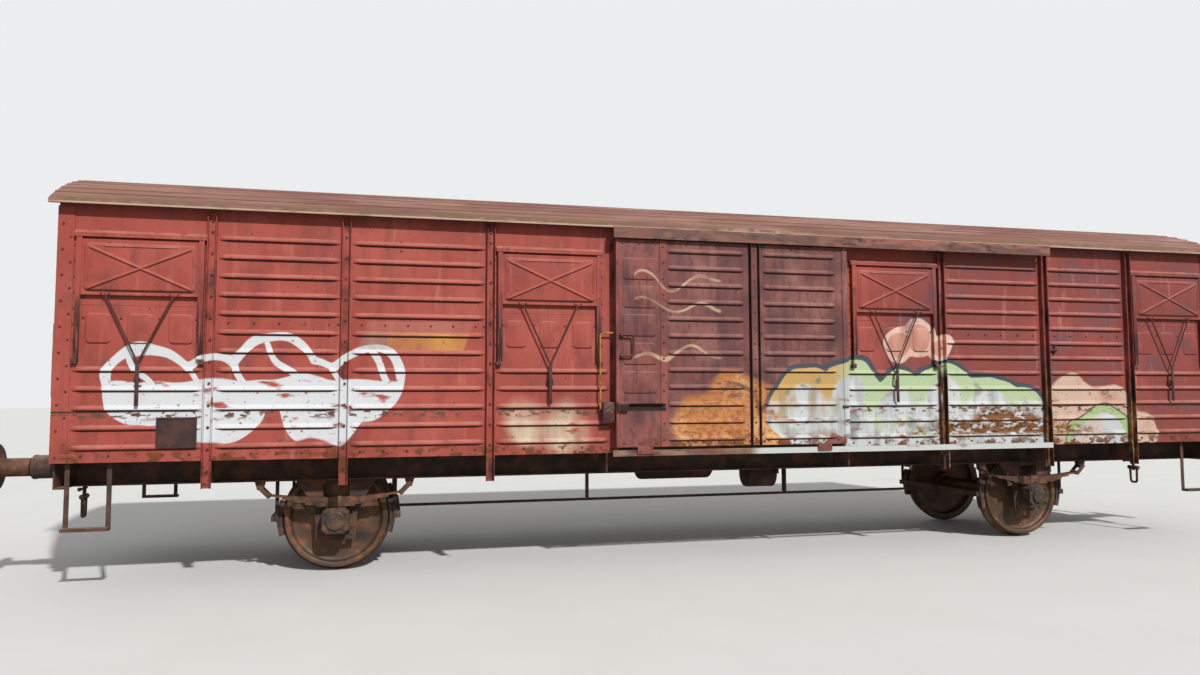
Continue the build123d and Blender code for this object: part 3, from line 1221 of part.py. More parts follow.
def door_handrail():
    """The bent grab rail beside the near door: out of the sheet, up, and into the side of the jamb."""
    x = -HALF_BODY + DOOR_RAIL_FROM_END
    low, high = (above_rail(height) for height in DOOR_RAIL_HEIGHTS)
    y_wall, y = -SHEET_HALF_WIDTH, -SHEET_HALF_WIDTH - DOOR_RAIL_OUT
    jamb = -HALF_OPENING - JAMB_LIP
    bars = [
        rod((x, y_wall, low), (x, y, low), HANDRAIL_RADIUS),
        rod((x, y, low - HANDRAIL_RADIUS), (x, y, high), HANDRAIL_RADIUS),
        rod((x - HANDRAIL_RADIUS, y, high), (jamb, y, high), HANDRAIL_RADIUS),
    ]
    return fused(bars[0], bars[1:])


STEP_FROM_END = 480.0
STEP_WIDTH = 380.0
STEP_HEIGHT = 520.0
STEP_GAUGE = 28.0
STRAP_WIDTH = 40.0


def corner_step():
    """The shunter's step under the near right corner, its straps on the back of the side sill."""
    x0 = HALF_BODY - STEP_FROM_END
    x1 = x0 + STEP_WIDTH
    sill_back = -INNER_HALF_WIDTH + SIDE_SILL_GAUGE
    y1 = sill_back + SIDE_SILL_GAUGE
    low = above_rail(STEP_HEIGHT)
    tread = block(x0, x1, -SHEET_HALF_WIDTH, y1, low, low + STEP_GAUGE)
    top = FLOOR_BOTTOM - SIDE_SILL_GAUGE
    straps = [block(x, x + STRAP_WIDTH, sill_back, y1, low, top) for x in (x0, x1 - STRAP_WIDTH)]
    return fused(tread, straps)


END_RAIL_HEIGHTS = (1683.0, 2379.0)
END_RAIL_Y = 1180.0
END_RAIL_OUT = 70.0


def end_handrail():
    """The grab rail on the near right end wall, over the shunter's step."""
    low, high = (above_rail(height) for height in END_RAIL_HEIGHTS)
    x_wall, x = END_SHEET_X, END_SHEET_X + END_RAIL_OUT
    y = -END_RAIL_Y
    bars = [rod((x, y, low - HANDRAIL_RADIUS), (x, y, high + HANDRAIL_RADIUS), HANDRAIL_RADIUS)]
    bars += [rod((x_wall, y, z), (x, y, z), HANDRAIL_RADIUS) for z in (low, high)]
    return fused(bars[0], bars[1:])


LABEL_FROM_END = (853.0, 1190.0)
LABEL_HEIGHTS = (1243.0, 1516.0)
LABEL_DEPTH = 14.0
LABEL_RIM = 14.0


def label_holder():
    """The blank label frame on the near left bay, on the crests of the ribs."""
    x0, x1 = (-HALF_BODY + place for place in LABEL_FROM_END)
    z0, z1 = (above_rail(height) for height in LABEL_HEIGHTS)
    out = RIB_HEIGHT
    frame = side_block(x0, x1, out, out + LABEL_DEPTH, z0, z1)
    recess = side_block(
        x0 + LABEL_RIM,
        x1 - LABEL_RIM,
        out + LABEL_DEPTH / 2,
        out + LABEL_DEPTH + SINK,
        z0 + LABEL_RIM,
        z1 - LABEL_RIM,
    )
    return frame - recess


PIPE_RADIUS = 17.0
PIPE_Y = 330.0
PIPE_DROP = 60.0


def brake_pipe():
    """The air pipe along the wagon, with a cock at each end."""
    z = SOLEBAR_BOTTOM - PIPE_DROP
    end = END_SHEET_X + 60
    pipe = rod((-end, PIPE_Y, z), (end, PIPE_Y, z), PIPE_RADIUS)
    cock = rod((end - 40, PIPE_Y, z), (end + 30, PIPE_Y, z), PIPE_RADIUS * 1.7)
    hanger_x = END_SHEET_X - HEADSTOCK_DEPTH / 2
    hanger = block(hanger_x - 20, hanger_x + 20, PIPE_Y - 6, PIPE_Y + 6, z, SOLEBAR_BOTTOM)
    return fused(pipe, [*both_ends(cock), *both_ends(hanger)])


near_wall = side_wall()
write("side_wall_near_left", [near_wall])
write("side_wall_near_right", [mirror(near_wall, about=Plane.YZ)])
write("side_wall_far_left", [mirror(near_wall, about=Plane.XZ)])
write("side_wall_far_right", [turned(near_wall)])
right_end = end_wall()
write("end_wall_right", [right_end])
write("end_wall_left", [mirror(right_end, about=Plane.YZ)])
write("side_posts", side_posts())
write("end_posts", end_posts())
write("corner_posts", corner_posts())
write("door_jambs", door_jambs())
write("roof", [roof()])
near_cant_rail = cant_rail()
write("cant_rails", [near_cant_rail, turned(near_cant_rail)])
write("roof_bows", roof_bows())
write("floor", [floor()])

near_solebar = solebar()
write("solebars", [near_solebar, turned(near_solebar)])
write("headstocks", both_ends(headstock()))
write("crossbearers", crossbearers())
write("centre_sills", centre_sills())
near_side_sill = side_sill()
write("side_sills", [near_side_sill, turned(near_side_sill)])
write("outriggers", outriggers())

hatch_x = [sign * (HALF_BODY - place) for place in HATCH_CENTRES_FROM_END for sign in (-1, 1)]
hatch_x.sort()
near_frames = [piece for x in hatch_x for piece in hatch_frame(x)]
write("hatch_frames", near_frames + [turned(piece) for piece in near_frames])
one_shutter = shutter()
for number, x in enumerate(hatch_x, start=1):
    placed = Pos(x, 0, 0) * one_shutter
    write(f"shutter_near_{number}", [placed])
    write(f"shutter_far_{number}", [turned(placed)])

near_leaf = door_leaf()
near_fittings = door_fittings()
write("door_leaf_near", [near_leaf])
write("door_leaf_far", [turned(near_leaf)])
write("door_fittings_near", near_fittings)
write("door_fittings_far", [turned(piece) for piece in near_fittings])
near_upper, near_lower = upper_rail(), lower_rail()
write("door_rail_covers", [near_upper, turned(near_upper)])
write("door_foot_rails", [near_lower, turned(near_lower)])

write("wheelset_left", [wheelset(-WHEELBASE / 2)])
write("wheelset_right", [wheelset(WHEELBASE / 2)])
write("axleboxes", four_corners(axlebox()))
write("axle_guards", four_corners(axle_guard()))
write("leaf_springs", four_corners(leaf_spring()))
write("spring_links", spring_links())
write("brake_blocks", brake_blocks())
write("brake_beams", brake_beams())
write("brake_rods", brake_rods())
write("brake_vessels", brake_vessels())
write("brake_pipe", [brake_pipe()])

write("buffer_casings", four_corners(buffer_casing()))
write("buffer_plungers", four_corners(buffer_plunger()))
write("draw_hooks", both_ends(draw_hook()))
write("screw_couplings", both_ends(coupling()))
near_rail = door_handrail()
write("handrails", [near_rail, turned(near_rail), *four_corners(end_handrail())])
write("corner_steps", four_corners(corner_step()))
write("label_holder", [label_holder()])
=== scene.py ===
import json
import math

import bmesh
import bpy
from bpy.props import FloatProperty, FloatVectorProperty, IntProperty, PointerProperty
from mathutils import Matrix, Vector


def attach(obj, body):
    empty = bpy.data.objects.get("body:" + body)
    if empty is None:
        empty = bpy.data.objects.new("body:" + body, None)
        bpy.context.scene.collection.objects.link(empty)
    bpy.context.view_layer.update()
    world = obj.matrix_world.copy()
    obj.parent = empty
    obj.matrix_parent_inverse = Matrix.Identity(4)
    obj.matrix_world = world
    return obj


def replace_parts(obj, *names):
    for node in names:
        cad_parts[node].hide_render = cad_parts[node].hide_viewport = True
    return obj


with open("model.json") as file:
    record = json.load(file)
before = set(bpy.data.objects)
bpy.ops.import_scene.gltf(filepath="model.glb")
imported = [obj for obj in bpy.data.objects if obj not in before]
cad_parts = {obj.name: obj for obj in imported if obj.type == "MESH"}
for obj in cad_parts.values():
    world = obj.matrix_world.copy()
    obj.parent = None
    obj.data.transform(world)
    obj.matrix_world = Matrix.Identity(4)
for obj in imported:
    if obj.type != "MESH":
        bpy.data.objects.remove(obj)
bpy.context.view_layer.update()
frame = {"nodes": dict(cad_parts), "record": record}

bl_info = {
    "name": "Covered goods wagon looks",
    "version": (1, 0, 0),
    "blender": (4, 5, 0),
    "location": "View3D > Sidebar > Wagon",
    "description": "Adds pressed ribs, fittings, weathered paint and a stage to the packed wagon",
    "category": "Object",
}

MM = 0.001


def rotation(degrees, axis):
    """A turn about an axis through the origin."""
    return Matrix.Rotation(math.radians(degrees), 4, axis)


def both(*sizes):
    """Each size on both sides of the middle."""
    return [sign * size for sign in (-1, 1) for size in sizes]


def rows(first, pitch, count):
    """Places in a row at an even pitch."""
    return [first + step * pitch for step in range(count)]


def grid(columns, heights):
    """Every place where a column crosses a height."""
    return [(column, height) for column in columns for height in heights]


def spread(start, end, pitch):
    """Evenly spaced places between two ends, about a pitch apart."""
    steps = round((end - start) / pitch)
    return [start + (end - start) * (step + 0.5) / steps for step in range(steps)]


# Faces of the wagon: local x runs along the face, local y up and local z out of it
NO_TURN = Matrix.Identity(4)
TURNED = rotation(180, "Z")
NEAR = rotation(90, "X")
RIGHT = rotation(90, "Z") @ NEAR
SIDES = {"near": NEAR, "far": TURNED @ NEAR}
ENDS = {"left": TURNED @ RIGHT, "right": RIGHT}

# Sizes in mm, as in the CAD source. OUT is a distance from the wagon's middle, a height is over the flange
# tips, and a place is (along, up) on its face. Rib bays run from the body's end
SHEET_OUT = 1370
SHEET_END = 6382
BODY_END = 6390
RIB_BAYS = ((136.0, 1238.5, 5), (1317.5, 2428.5, 12), (2507.5, 3806.5, 12), (3885.5, 5067.0, 5))
RIB_FIRST = 1276
RIB_PITCH = 174
RIB_GAP = 50
END_RIB_ROWS = 12
END_RIB_SPANS = ((0.0, 771.0), (861.75, 694.5), (-861.75, 694.5))
POSTS = (5112, 3922, 2544)
HATCHES = {1: -5700, 2: -1950, 3: 1950, 4: 5700}
SHUTTER_HALF = 494
SHUTTER_FOOT = 2633
SHUTTER_TOP = 3138
SHUTTER_FACE = SHEET_OUT + 38
SHUTTER_LUG_X = 283
PULL_NODE = 2034
PULL_DROP = 330
PULL_OUT = SHEET_OUT + 51
PULL_ROD = 8.3
HATCH_PANELS = grid((-340, 0, 340), (2340,))
GUIDE_STOP = (518, 2044)
LAP_Z = 2552
DOOR_LEFT = -1290
DOOR_FOOT = 1208
DOOR_TOP = 3323
DOOR_OUT = SHEET_OUT + 120
DOOR_PANELS = grid((DOOR_LEFT + 250,), rows(1860, 290, 5))
DOOR_STOP = (-1361, 1556)
DOOR_CATCH = (4015, 2246)
LATCH = (1268, 1602)
HANDLE_ROD = 9.8
HANDLE_FEET = grid((-1246,), (2128, 2338))
HANDLE = (
    (-1246, 2128, 0), (-1246, 2128, 45), (-1122, 2128, 45), (-1122, 2338, 45), (-1246, 2338, 45),
    (-1246, 2338, 0),
)
DOOR_RIB_SPANS = ((551, 1388), (1615, 2452))
DOOR_RIB_ROWS = rows(1286, 175.4, 12)
ROOF_RADIUS = 2800.0
ROOF_CENTRE = 1102.8
ROOF_HALF_WIDTH = 1490.0
ROOF_SHOULDER = 60.0
ROOF_HALF_LENGTH = 6440
ROOF_SHEET = 28
ROOF_BEAD_PITCH = 152.0
ROOF_BEADS = 9
ROOF_BEAD_HALF = 22
AXLE_X = 4000
AXLE_Z = 528
AXLEBOX_OUT = 1108
TREAD_RADIUS = 497.5
TREAD_SPAN = (712, 812)
SPRING_OUT = 1000
SPRING_TOP = 748
SPRING_HALF = 600
SPRING_RISE = 40
SPRING_EYES = grid(both(620), (779,))
LEAF_PITCH = 18
LEAF_STEP = 105
LEAF_SECTION = (16.6, 90)
BUFFERS = grid(both(875), (1088,))
PLATE_OUT = 6400
HOOK_PIN_Z = 1078
HOOK_HORN = (0, 1123, 6632)
COUPLING_OUT = 6512
COUPLING_NUTS = ((0, 888), (0, 718))
COUPLING_STRAPS = ((-60, 0), (60, 0))
COUPLING_BOW = [(x, z, COUPLING_OUT) for x, z in ((55, 718), (48, 518), (-48, 518), (-55, 718))]
BOW_ROD = 15.5
TOMMY_Z = 803
SCREW_FIRST = 678
SCREW_RADIUS = 20
SCREW_PITCH = 14.2
CYLINDER_OUT = 783
RESERVOIR = (0, 560, 873)
GUARD_OUT = 930
GRAB_ROD = 9.5
SIDE_GRAB_RAIL = ((-1440, 1583, 1372), (-1440, 1583, 1430), (-1440, 2363, 1430), (-1292, 2363, 1430))
END_GRAB_X = 1180
END_GRAB_RAIL = ((1711, 6384), (1711, 6452), (2407, 6452), (2407, 6384))

# Bolts: columns along a face, heights, or whole places, in mm. Those of the seams run from the body's end
POST_BOLT_ROWS = [*rows(1047, 200, 12), 3348]
CORNER_BOLT_ROWS = ((6345, rows(1200, 230, 10)), (6280, rows(1315, 230, 9)))
SEAM_Z = RIB_FIRST + 6.5 * RIB_PITCH
SEAM_BOLTS = [(x, SEAM_Z) for start, end, _ in RIB_BAYS[1:3] for x in (*spread(start, end, 212), end - 26)]
FOOT_SEAM_BOLTS = [(x, 1206) for start, end, _ in RIB_BAYS for x in spread(start, end, 210)]
LABEL_BOLTS = grid((-3414, 4180), (3135, 3215))
END_POST_BOLTS = grid(both(450), rows(1040, 190, 13))
END_CORNER_BOLTS = grid(both(1325), rows(1240, 230, 9))
GUIDE_BOLT_X = 541
GUIDE_BOLT_ROWS = rows(2233, 142, 7)
FRAME_BOLT_COLUMNS = (158, 465)
FRAME_BOLT_Z = 2431
DOOR_POSTS = ((503, 8), (1512, 6))
DOOR_POST_BOLT_ROWS = rows(DOOR_FOOT + 70, 165, 13)
DOOR_EDGE_COLUMNS = [DOOR_LEFT + place for place in rows(80, 170, 15) if abs(place - 1512) > 70]
DOOR_EDGE_BOLTS = [(x, z) for z in (DOOR_TOP - 40, DOOR_FOOT + 40) for x in DOOR_EDGE_COLUMNS]
BOX_BOLTS = grid(both(98), both(82))
CASING_BOLTS = grid(both(128), both(104))
HOOK_BOLTS = grid(both(104), (1022, 1154))
GUARD_BOLTS = grid(both(150, 240, 330, 400), (960, 1085))
KEEP_BOLTS = grid(both(156), (372, 448, 600))
HEADSTOCK_BOLTS = grid(both(330, 560, 1180), (960, 1166))

# Outlines of turned parts from one end to the other: radius and distance along the axis, in mm
WHEEL_OUTLINE = (
    (80, 650), (112, 650), (122, 690), (128, 735), (160, 747), (300, 752), (408, 742), (430, 726),
    (436, 700), (440, 690), (447, 681), (458, 680), (512, 680), (520, 682), (526, 688), (528, 695),
    (525, 702), (514, 709), (505, 716), (501.5, 726), (500, 745), (498.5, 790), (495, 809), (488, 815),
    (452, 815), (441, 808), (436, 798), (428, 782), (405, 772), (300, 782), (160, 790), (132, 800),
    (125, 828), (118, 845), (80, 845), (80, 650),
)
HALF_AXLE = (
    (0, -1072), (52, -1072), (58, -1066), (59, -870), (72, -862), (80, -845), (80, -650), (72, -560), (70, 0),
)
AXLEBOX_COVER = ((0, 22), (60, 22), (78, 18), (88, 8), (92, 0), (92, -6), (0, -6))
BUFFER_HEAD = (
    (0, 6690), (84, 6690), (84, 6925), (96, 6938), (140, 6958), (200, 6968), (216, 6972), (224, 6982),
    (225, 6992), (221, 7001), (208, 7006), (120, 7009), (0, 7010),
)
BUFFER_SLEEVE = (
    (0, 6384), (128, 6384), (126, 6402), (118, 6420), (108, 6440), (107, 6640), (112, 6646), (112, 6668),
    (108, 6672), (88, 6672), (86, 6668), (86, 6640), (0, 6640),
)
TOMMY_BAR = ((0, -70), (9, -70), (12, -66), (12, 128), (19, 138), (21, 150), (19, 162), (10, 170), (0, 170))
BRAKE_CYLINDER = (
    (0, 700), (60, 700), (64, 712), (138, 716), (160, 724), (168, 740), (168, 1028), (170, 1030), (170, 1044),
    (170, 1048), (170, 1078), (60, 1080), (0, 1080),
)
HALF_RESERVOIR = (
    (0, 508), (70, 505), (120, 496), (156, 480), (178, 462), (188, 444), (190, 425), (190, 12), (191, 8),
    (191, 0),
)

# A rib's section from its lower edge to its upper one, in shares of its half width and its height. Its
# pointed ends run past the straight ones of the CAD rib by the tips
RIB_SECTION = (
    (-1.0, 0.0), (-0.88, 0.36), (-0.64, 0.74), (-0.40, 0.96), (-0.17, 1.0), (0.10, 0.88), (0.42, 0.58),
    (0.74, 0.25), (1.0, 0.0),
)
RIB_END_STEPS = 4
WALL_RIB_TIPS = 14
RIB_TIPS = 10

# Round lobes of each sprayed cloud on the near side: middle (x, z) and radius, in metres
WHITE_CLOUD = (
    (-5.60, 1.80, 0.40), (-5.10, 1.68, 0.43), (-4.56, 1.96, 0.38), (-4.14, 1.66, 0.42), (-3.74, 1.84, 0.36),
)
STRAW_CLOUD = ((-2.16, 1.46, 0.24), (-1.80, 1.40, 0.27))
ORANGE_CLOUD = ((-0.42, 1.44, 0.34), (0.02, 1.58, 0.42), (0.42, 1.46, 0.34))
PALE_CLOUD = (
    (0.78, 1.58, 0.40), (1.36, 1.70, 0.45), (1.98, 1.58, 0.42), (2.58, 1.66, 0.42), (3.16, 1.58, 0.44),
    (3.60, 1.50, 0.34),
)
PINK_CLOUD = ((2.00, 2.24, 0.18), (2.26, 2.36, 0.21), (2.56, 2.28, 0.17))
CREAM_CLOUD = ((4.32, 1.50, 0.42), (4.80, 1.40, 0.44), (5.22, 1.28, 0.26))
CREAM_ARC = ((4.68, 1.08, 0.50),)
SWAY = 0.34

# The photograph's camera, solved from the body's length and posts: metres, millimetres of lens, degrees
CAMERA_PLACE = (-3.551, -9.899, 1.728)
CAMERA_LENS = 25.896
CAMERA_ANGLES = (13.976, 3.849, -0.169)


def linear(colour):
    """An sRGB hex value as a linear colour with full alpha."""
    parts = [int(colour[place : place + 2], 16) / 255 for place in (1, 3, 5)]
    return [part / 12.92 if part <= 0.04045 else ((part + 0.055) / 1.055) ** 2.4 for part in parts] + [1.0]


class WagonSheetSizes(bpy.types.PropertyGroup):
    """Sizes of the pressings and fittings that dress the wagon's sheets."""

    rib_width: FloatProperty(
        name="Rib width", description="Width of a pressed rib at its foot", default=0.058, min=0.052,
        subtype="DISTANCE",
    )
    rib_height: FloatProperty(
        name="Rib height", description="Height of a wall rib's crest", default=0.0225, min=0.021,
        subtype="DISTANCE",
    )
    pressing_rise: FloatProperty(
        name="Panel rise", description="How far the flat panels under a hatch stand out", default=0.008,
        subtype="DISTANCE",
    )
    bolt_width: FloatProperty(
        name="Bolt width", description="Width of a bolt's head across its flats", default=0.026,
        subtype="DISTANCE",
    )
    roof_bead_height: FloatProperty(
        name="Roof bead height", description="Height of the roof's lengthwise beads", default=0.0085,
        subtype="DISTANCE",
    )
    wheel_segments: IntProperty(
        name="Wheel segments", description="Steps of a wheel's turning", default=72, min=24, max=144
    )


class WagonColours(bpy.types.PropertyGroup):
    """Main colours of the wagon, as linear values of sRGB tones."""

    body: FloatVectorProperty(
        name="Body paint", description="Oxide red of the walls", subtype="COLOR", size=4,
        default=linear("#A1493D"),
    )
    door: FloatVectorProperty(
        name="Door paint", description="Weathered red-brown of the doors", subtype="COLOR", size=4,
        default=linear("#7A4844"),
    )
    roof: FloatVectorProperty(
        name="Roof paint", description="Dusty faded red of the roof", subtype="COLOR", size=4,
        default=linear("#916656"),
    )
    underframe: FloatVectorProperty(
        name="Underframe", description="Dark brown under rust and dust", subtype="COLOR", size=4,
        default=linear("#46332C"),
    )
    floor: FloatVectorProperty(
        name="Floor", description="Pale studio floor", subtype="COLOR", size=4, default=linear("#E2E1DD")
    )


def wire(tree, node, sockets):
    """Gives a node's sockets a value or another node's output."""
    for key, value in sockets.items():
        if isinstance(value, bpy.types.NodeSocket):
            tree.links.new(value, node.inputs[key])
        else:
            node.inputs[key].default_value = value


def add(tree, kind, sockets=None, **settings):
    """Adds one node with its settings and its sockets' values or links."""
    node = tree.nodes.new("ShaderNode" + kind)
    for key, value in settings.items():
        setattr(node, key, value)
    wire(tree, node, sockets or {})
    return node


class Finish:
    """A material in the making: where its patterns lie, and the colour that its coats have reached."""

    def __init__(self, name, colour):
        self.material = bpy.data.materials.new(name)
        self.material.use_nodes = True
        self.tree = self.material.node_tree
        self.tree.nodes.clear()
        self.shader = add(self.tree, "BsdfPrincipled")
        add(self.tree, "OutputMaterial", {"Surface": self.shader.outputs[0]})
        self.place = add(self.tree, "TexCoord").outputs["Object"]
        self.x, self.y, self.z = add(self.tree, "SeparateXYZ", {0: self.place}).outputs
        normal = add(self.tree, "NewGeometry").outputs["Normal"]
        self.up = add(self.tree, "SeparateXYZ", {0: normal}).outputs[2]
        self.colour = colour

    def lumps(self, size, low, high, stretch=(1, 1, 1), detail=3.0, place=None):
        """A mask of soft lumps of a size in mm, empty below low and full above high."""
        place = self.place if place is None else place
        spaced = add(self.tree, "VectorMath", {0: place, 1: stretch}, operation="MULTIPLY").outputs[0]
        noise = add(self.tree, "TexNoise", {"Vector": spaced, "Scale": 1000 / size, "Detail": detail})
        return add(self.tree, "MapRange", {0: noise.outputs[0], 1: low, 2: high}).outputs[0]

    def between(self, value, empty, full):
        """A mask that rises from none at one value to full at the other."""
        ramp = {0: value, 1: empty, 2: full}
        return add(self.tree, "MapRange", ramp, interpolation_type="SMOOTHSTEP").outputs[0]

    def band(self, value, low, low_full, high_full, high):
        """Two masks that meet in a band with soft edges."""
        return self.between(value, low, low_full), self.between(value, high, high_full)

    def away(self, value, middle):
        """How far a value is from a middle one, either way."""
        off = add(self.tree, "Math", {0: value, 1: middle}, operation="SUBTRACT").outputs[0]
        return add(self.tree, "Math", {0: off}, operation="ABSOLUTE").outputs[0]

    def meet(self, cover, *masks, operation="MULTIPLY"):
        """One mask of several: where all of them meet, or with MAXIMUM, where any of them is."""
        for mask in masks:
            cover = add(self.tree, "Math", {0: cover, 1: mask}, operation=operation).outputs[0]
        return cover

    def blend(self, below, colour, *masks):
        """A colour over what is below it, where all of its masks meet."""
        tones = [linear(tone) if isinstance(tone, str) else tone for tone in (below, colour)]
        layers = {0: self.meet(*masks), 6: tones[0], 7: tones[1]}
        return add(self.tree, "Mix", layers, data_type="RGBA").outputs[2]

    def coat(self, colour, *masks):
        """Lays on a coat of paint, rust or dust."""
        self.colour = self.blend(self.colour, colour, *masks)

    def settle(self, roughness, grain, depth, relief=None, metallic=0.0, specular=0.5):
        """The finished material: a fine bump with a grain and depth in mm, and a relief mask on top."""
        noise = add(self.tree, "TexNoise", {"Vector": self.place, "Scale": 1000 / grain, "Detail": 4.0})
        height = noise.outputs[0]
        if relief is not None:
            height = add(self.tree, "Math", {0: height, 1: relief}, operation="ADD").outputs[0]
        bump = add(self.tree, "Bump", {"Height": height, "Distance": depth * MM, "Strength": 0.6}).outputs[0]
        wire(self.tree, self.shader, {
            "Base Color": self.colour, "Normal": bump, "Roughness": roughness, "Metallic": metallic,
            "Specular IOR Level": specular,
        })
        return self.material


def clouds(tree, flat, lobes):
    """How far a place lies outside a row of round lobes that run together, in metres."""
    outside = None
    for x, z, radius in lobes:
        away = add(tree, "VectorMath", {0: flat, 1: (x, 0, z)}, operation="DISTANCE").outputs["Value"]
        off = add(tree, "Math", {0: away, 1: radius}, operation="SUBTRACT").outputs[0]
        if outside is not None:
            off = add(tree, "Math", {0: outside, 1: off, 2: 0.06}, operation="SMOOTH_MIN").outputs[0]
        outside = off
    return outside


def stroke(look, off, middle, width):
    """A sprayed line of a width that follows a cloud's edge at a distance from it, in metres."""
    return look.between(look.away(off, middle), width / 2 + 0.006, width / 2 - 0.006)


def spray(look, skin):
    """Clouds, arcs and waves of worn spray paint on the near side, past a skin's distance from the middle."""
    tree, x, z, below = look.tree, look.x, look.z, look.colour
    level = add(tree, "VectorMath", {0: look.place, 1: (1, 0, 1)}, operation="MULTIPLY").outputs[0]
    sway = add(tree, "TexNoise", {"Vector": level, "Scale": 1.7, "Detail": 1.2}).outputs[1]
    swayed = {0: sway, 1: (SWAY, 0, SWAY), 2: level}
    flat = add(tree, "VectorMath", swayed, operation="MULTIPLY_ADD").outputs[0]
    flat = add(tree, "VectorMath", {0: flat, 1: (SWAY / 2, 0, SWAY / 2)}, operation="SUBTRACT").outputs[0]
    across, _, height = add(tree, "SeparateXYZ", {0: flat}).outputs
    worn = look.lumps(48, 0.27, 0.35, detail=5.0)
    washed = look.lumps(260, 0.28, 0.60, (1, 1, 0.35))
    scraped = look.lumps(170, 0.33, 0.40, (0.55, 1, 1.7), 4.0)
    # White: filled low down, only outlined and hatched above
    off = clouds(tree, flat, WHITE_CLOUD)
    fill = look.meet(look.between(height, 1.88, 1.86), scraped)
    hatch = add(tree, "Math", {0: height, 1: 0.55, 2: across}, operation="MULTIPLY_ADD").outputs[0]
    hatch = add(tree, "Math", {0: hatch, 1: 0.21}, operation="PINGPONG").outputs[0]
    rim, lines = look.between(off, -0.085, -0.073), look.between(hatch, 0.036, 0.026)
    inner = look.meet(rim, fill, lines, operation="MAXIMUM")
    look.coat("#D5D6D8", look.between(off, 0.006, -0.006), inner, look.between(height, 1.27, 1.29), worn)
    # A faded slanting stripe, pale at its left end, with a faint band over it
    slant = add(tree, "Math", {0: z, 1: -0.35, 2: x}, operation="MULTIPLY_ADD").outputs[0]
    ends = look.band(slant, -4.59, -4.56, -3.59, -3.55)
    stripe = look.blend("#A08876", "#C58B48", look.between(x, -3.56, -3.48))
    look.coat(stripe, *ends, *look.band(z, 2.165, 2.180, 2.325, 2.345), washed, worn)
    look.coat("#AE685B", *ends, *look.band(z, 2.335, 2.355, 2.44, 2.46), washed)
    # A pale straw cloud under the second hatch
    look.coat("#CDBBA0", look.between(clouds(tree, flat, STRAW_CLOUD), 0.06, -0.16), washed, scraped)
    # Orange over the door's lower middle, light within and shaded along its edge
    off = clouds(tree, flat, ORANGE_CLOUD)
    cover = look.between(off, 0.02, -0.10)
    look.coat("#BB7A45", cover, worn, scraped)
    look.coat("#D9A470", cover, look.lumps(330, 0.45, 0.62), washed)
    look.coat("#9A5C3A", cover, look.lumps(55, 0.48, 0.66, (1, 1, 1.4), 6.0))
    look.coat("#6B4A3C", stroke(look, off, -0.17, 0.045), look.between(height, 1.44, 1.62), washed)
    # A pale cloud over the door's right part and the wall beyond: slate edge, ochre to green border
    off = clouds(tree, flat, PALE_CLOUD)
    skirt = look.meet(look.between(height, 1.60, 1.56), look.between(look.away(x, 2.58), 1.32, 1.30))
    cover = look.meet(look.between(off, 0.004, -0.010), skirt, operation="MAXIMUM")
    high = look.between(height, 1.52, 1.72)
    border = look.blend("#C19A5C", "#B3C49A", look.between(x, 1.05, 1.45))
    look.coat("#CACDCC", cover, scraped, worn)
    look.coat("#9FA3A0", cover, look.lumps(90, 0.46, 0.72, (1, 1, 0.12), 4.0))
    look.coat(border, cover, look.between(off, -0.21, -0.16), high, worn)
    look.coat(border, cover, look.lumps(380, 0.61, 0.66, detail=1.0, place=level), washed)
    ochre = look.lumps(240, 0.55, 0.70, (1, 1, 0.4), place=level)
    look.coat("#A68A62", cover, ochre, look.between(x, 1.6, 1.0))
    look.coat("#6F7678", cover, look.lumps(260, 0.65, 0.70, detail=0.5, place=level), washed)
    look.coat("#454B52", stroke(look, off, 0.010, 0.055), high)
    # A pink cloud above it
    off = clouds(tree, flat, PINK_CLOUD)
    look.coat("#CF9482", look.between(off, 0.01, -0.03), washed)
    look.coat("#DDBCAC", stroke(look, off, -0.02, 0.06), washed)
    # A pinkish cream cloud with green arcs, further right
    cover = look.between(clouds(tree, flat, CREAM_CLOUD), 0.02, -0.02)
    look.coat("#CDAE9A", cover, worn, scraped)
    look.coat("#B98E78", cover, look.lumps(300, 0.50, 0.66, place=level), washed)
    arc = clouds(tree, flat, CREAM_ARC)
    look.coat("#C2C5C6", cover, look.between(arc, -0.06, -0.09), washed)
    look.coat("#A5B982", cover, stroke(look, arc, -0.05, 0.09), worn)
    look.coat("#45433F", cover, stroke(look, arc, 0.005, 0.016), worn)
    # Thin cream waves high on the door's left part
    swing = add(tree, "Math", {0: x, 1: 11.0}, operation="MULTIPLY").outputs[0]
    swing = add(tree, "Math", {0: swing}, operation="SINE").outputs[0]
    wave = add(tree, "Math", {0: swing, 1: -0.055, 2: height}, operation="MULTIPLY_ADD").outputs[0]
    ends = look.band(x, -1.12, -1.08, -0.18, -0.14)
    for crest in (2.93, 2.66, 2.14):
        look.coat("#BFA383", stroke(look, wave, crest, 0.030), *ends, washed)
    look.colour = look.blend(below, look.colour, look.between(look.y, -skin, -skin - 0.01))


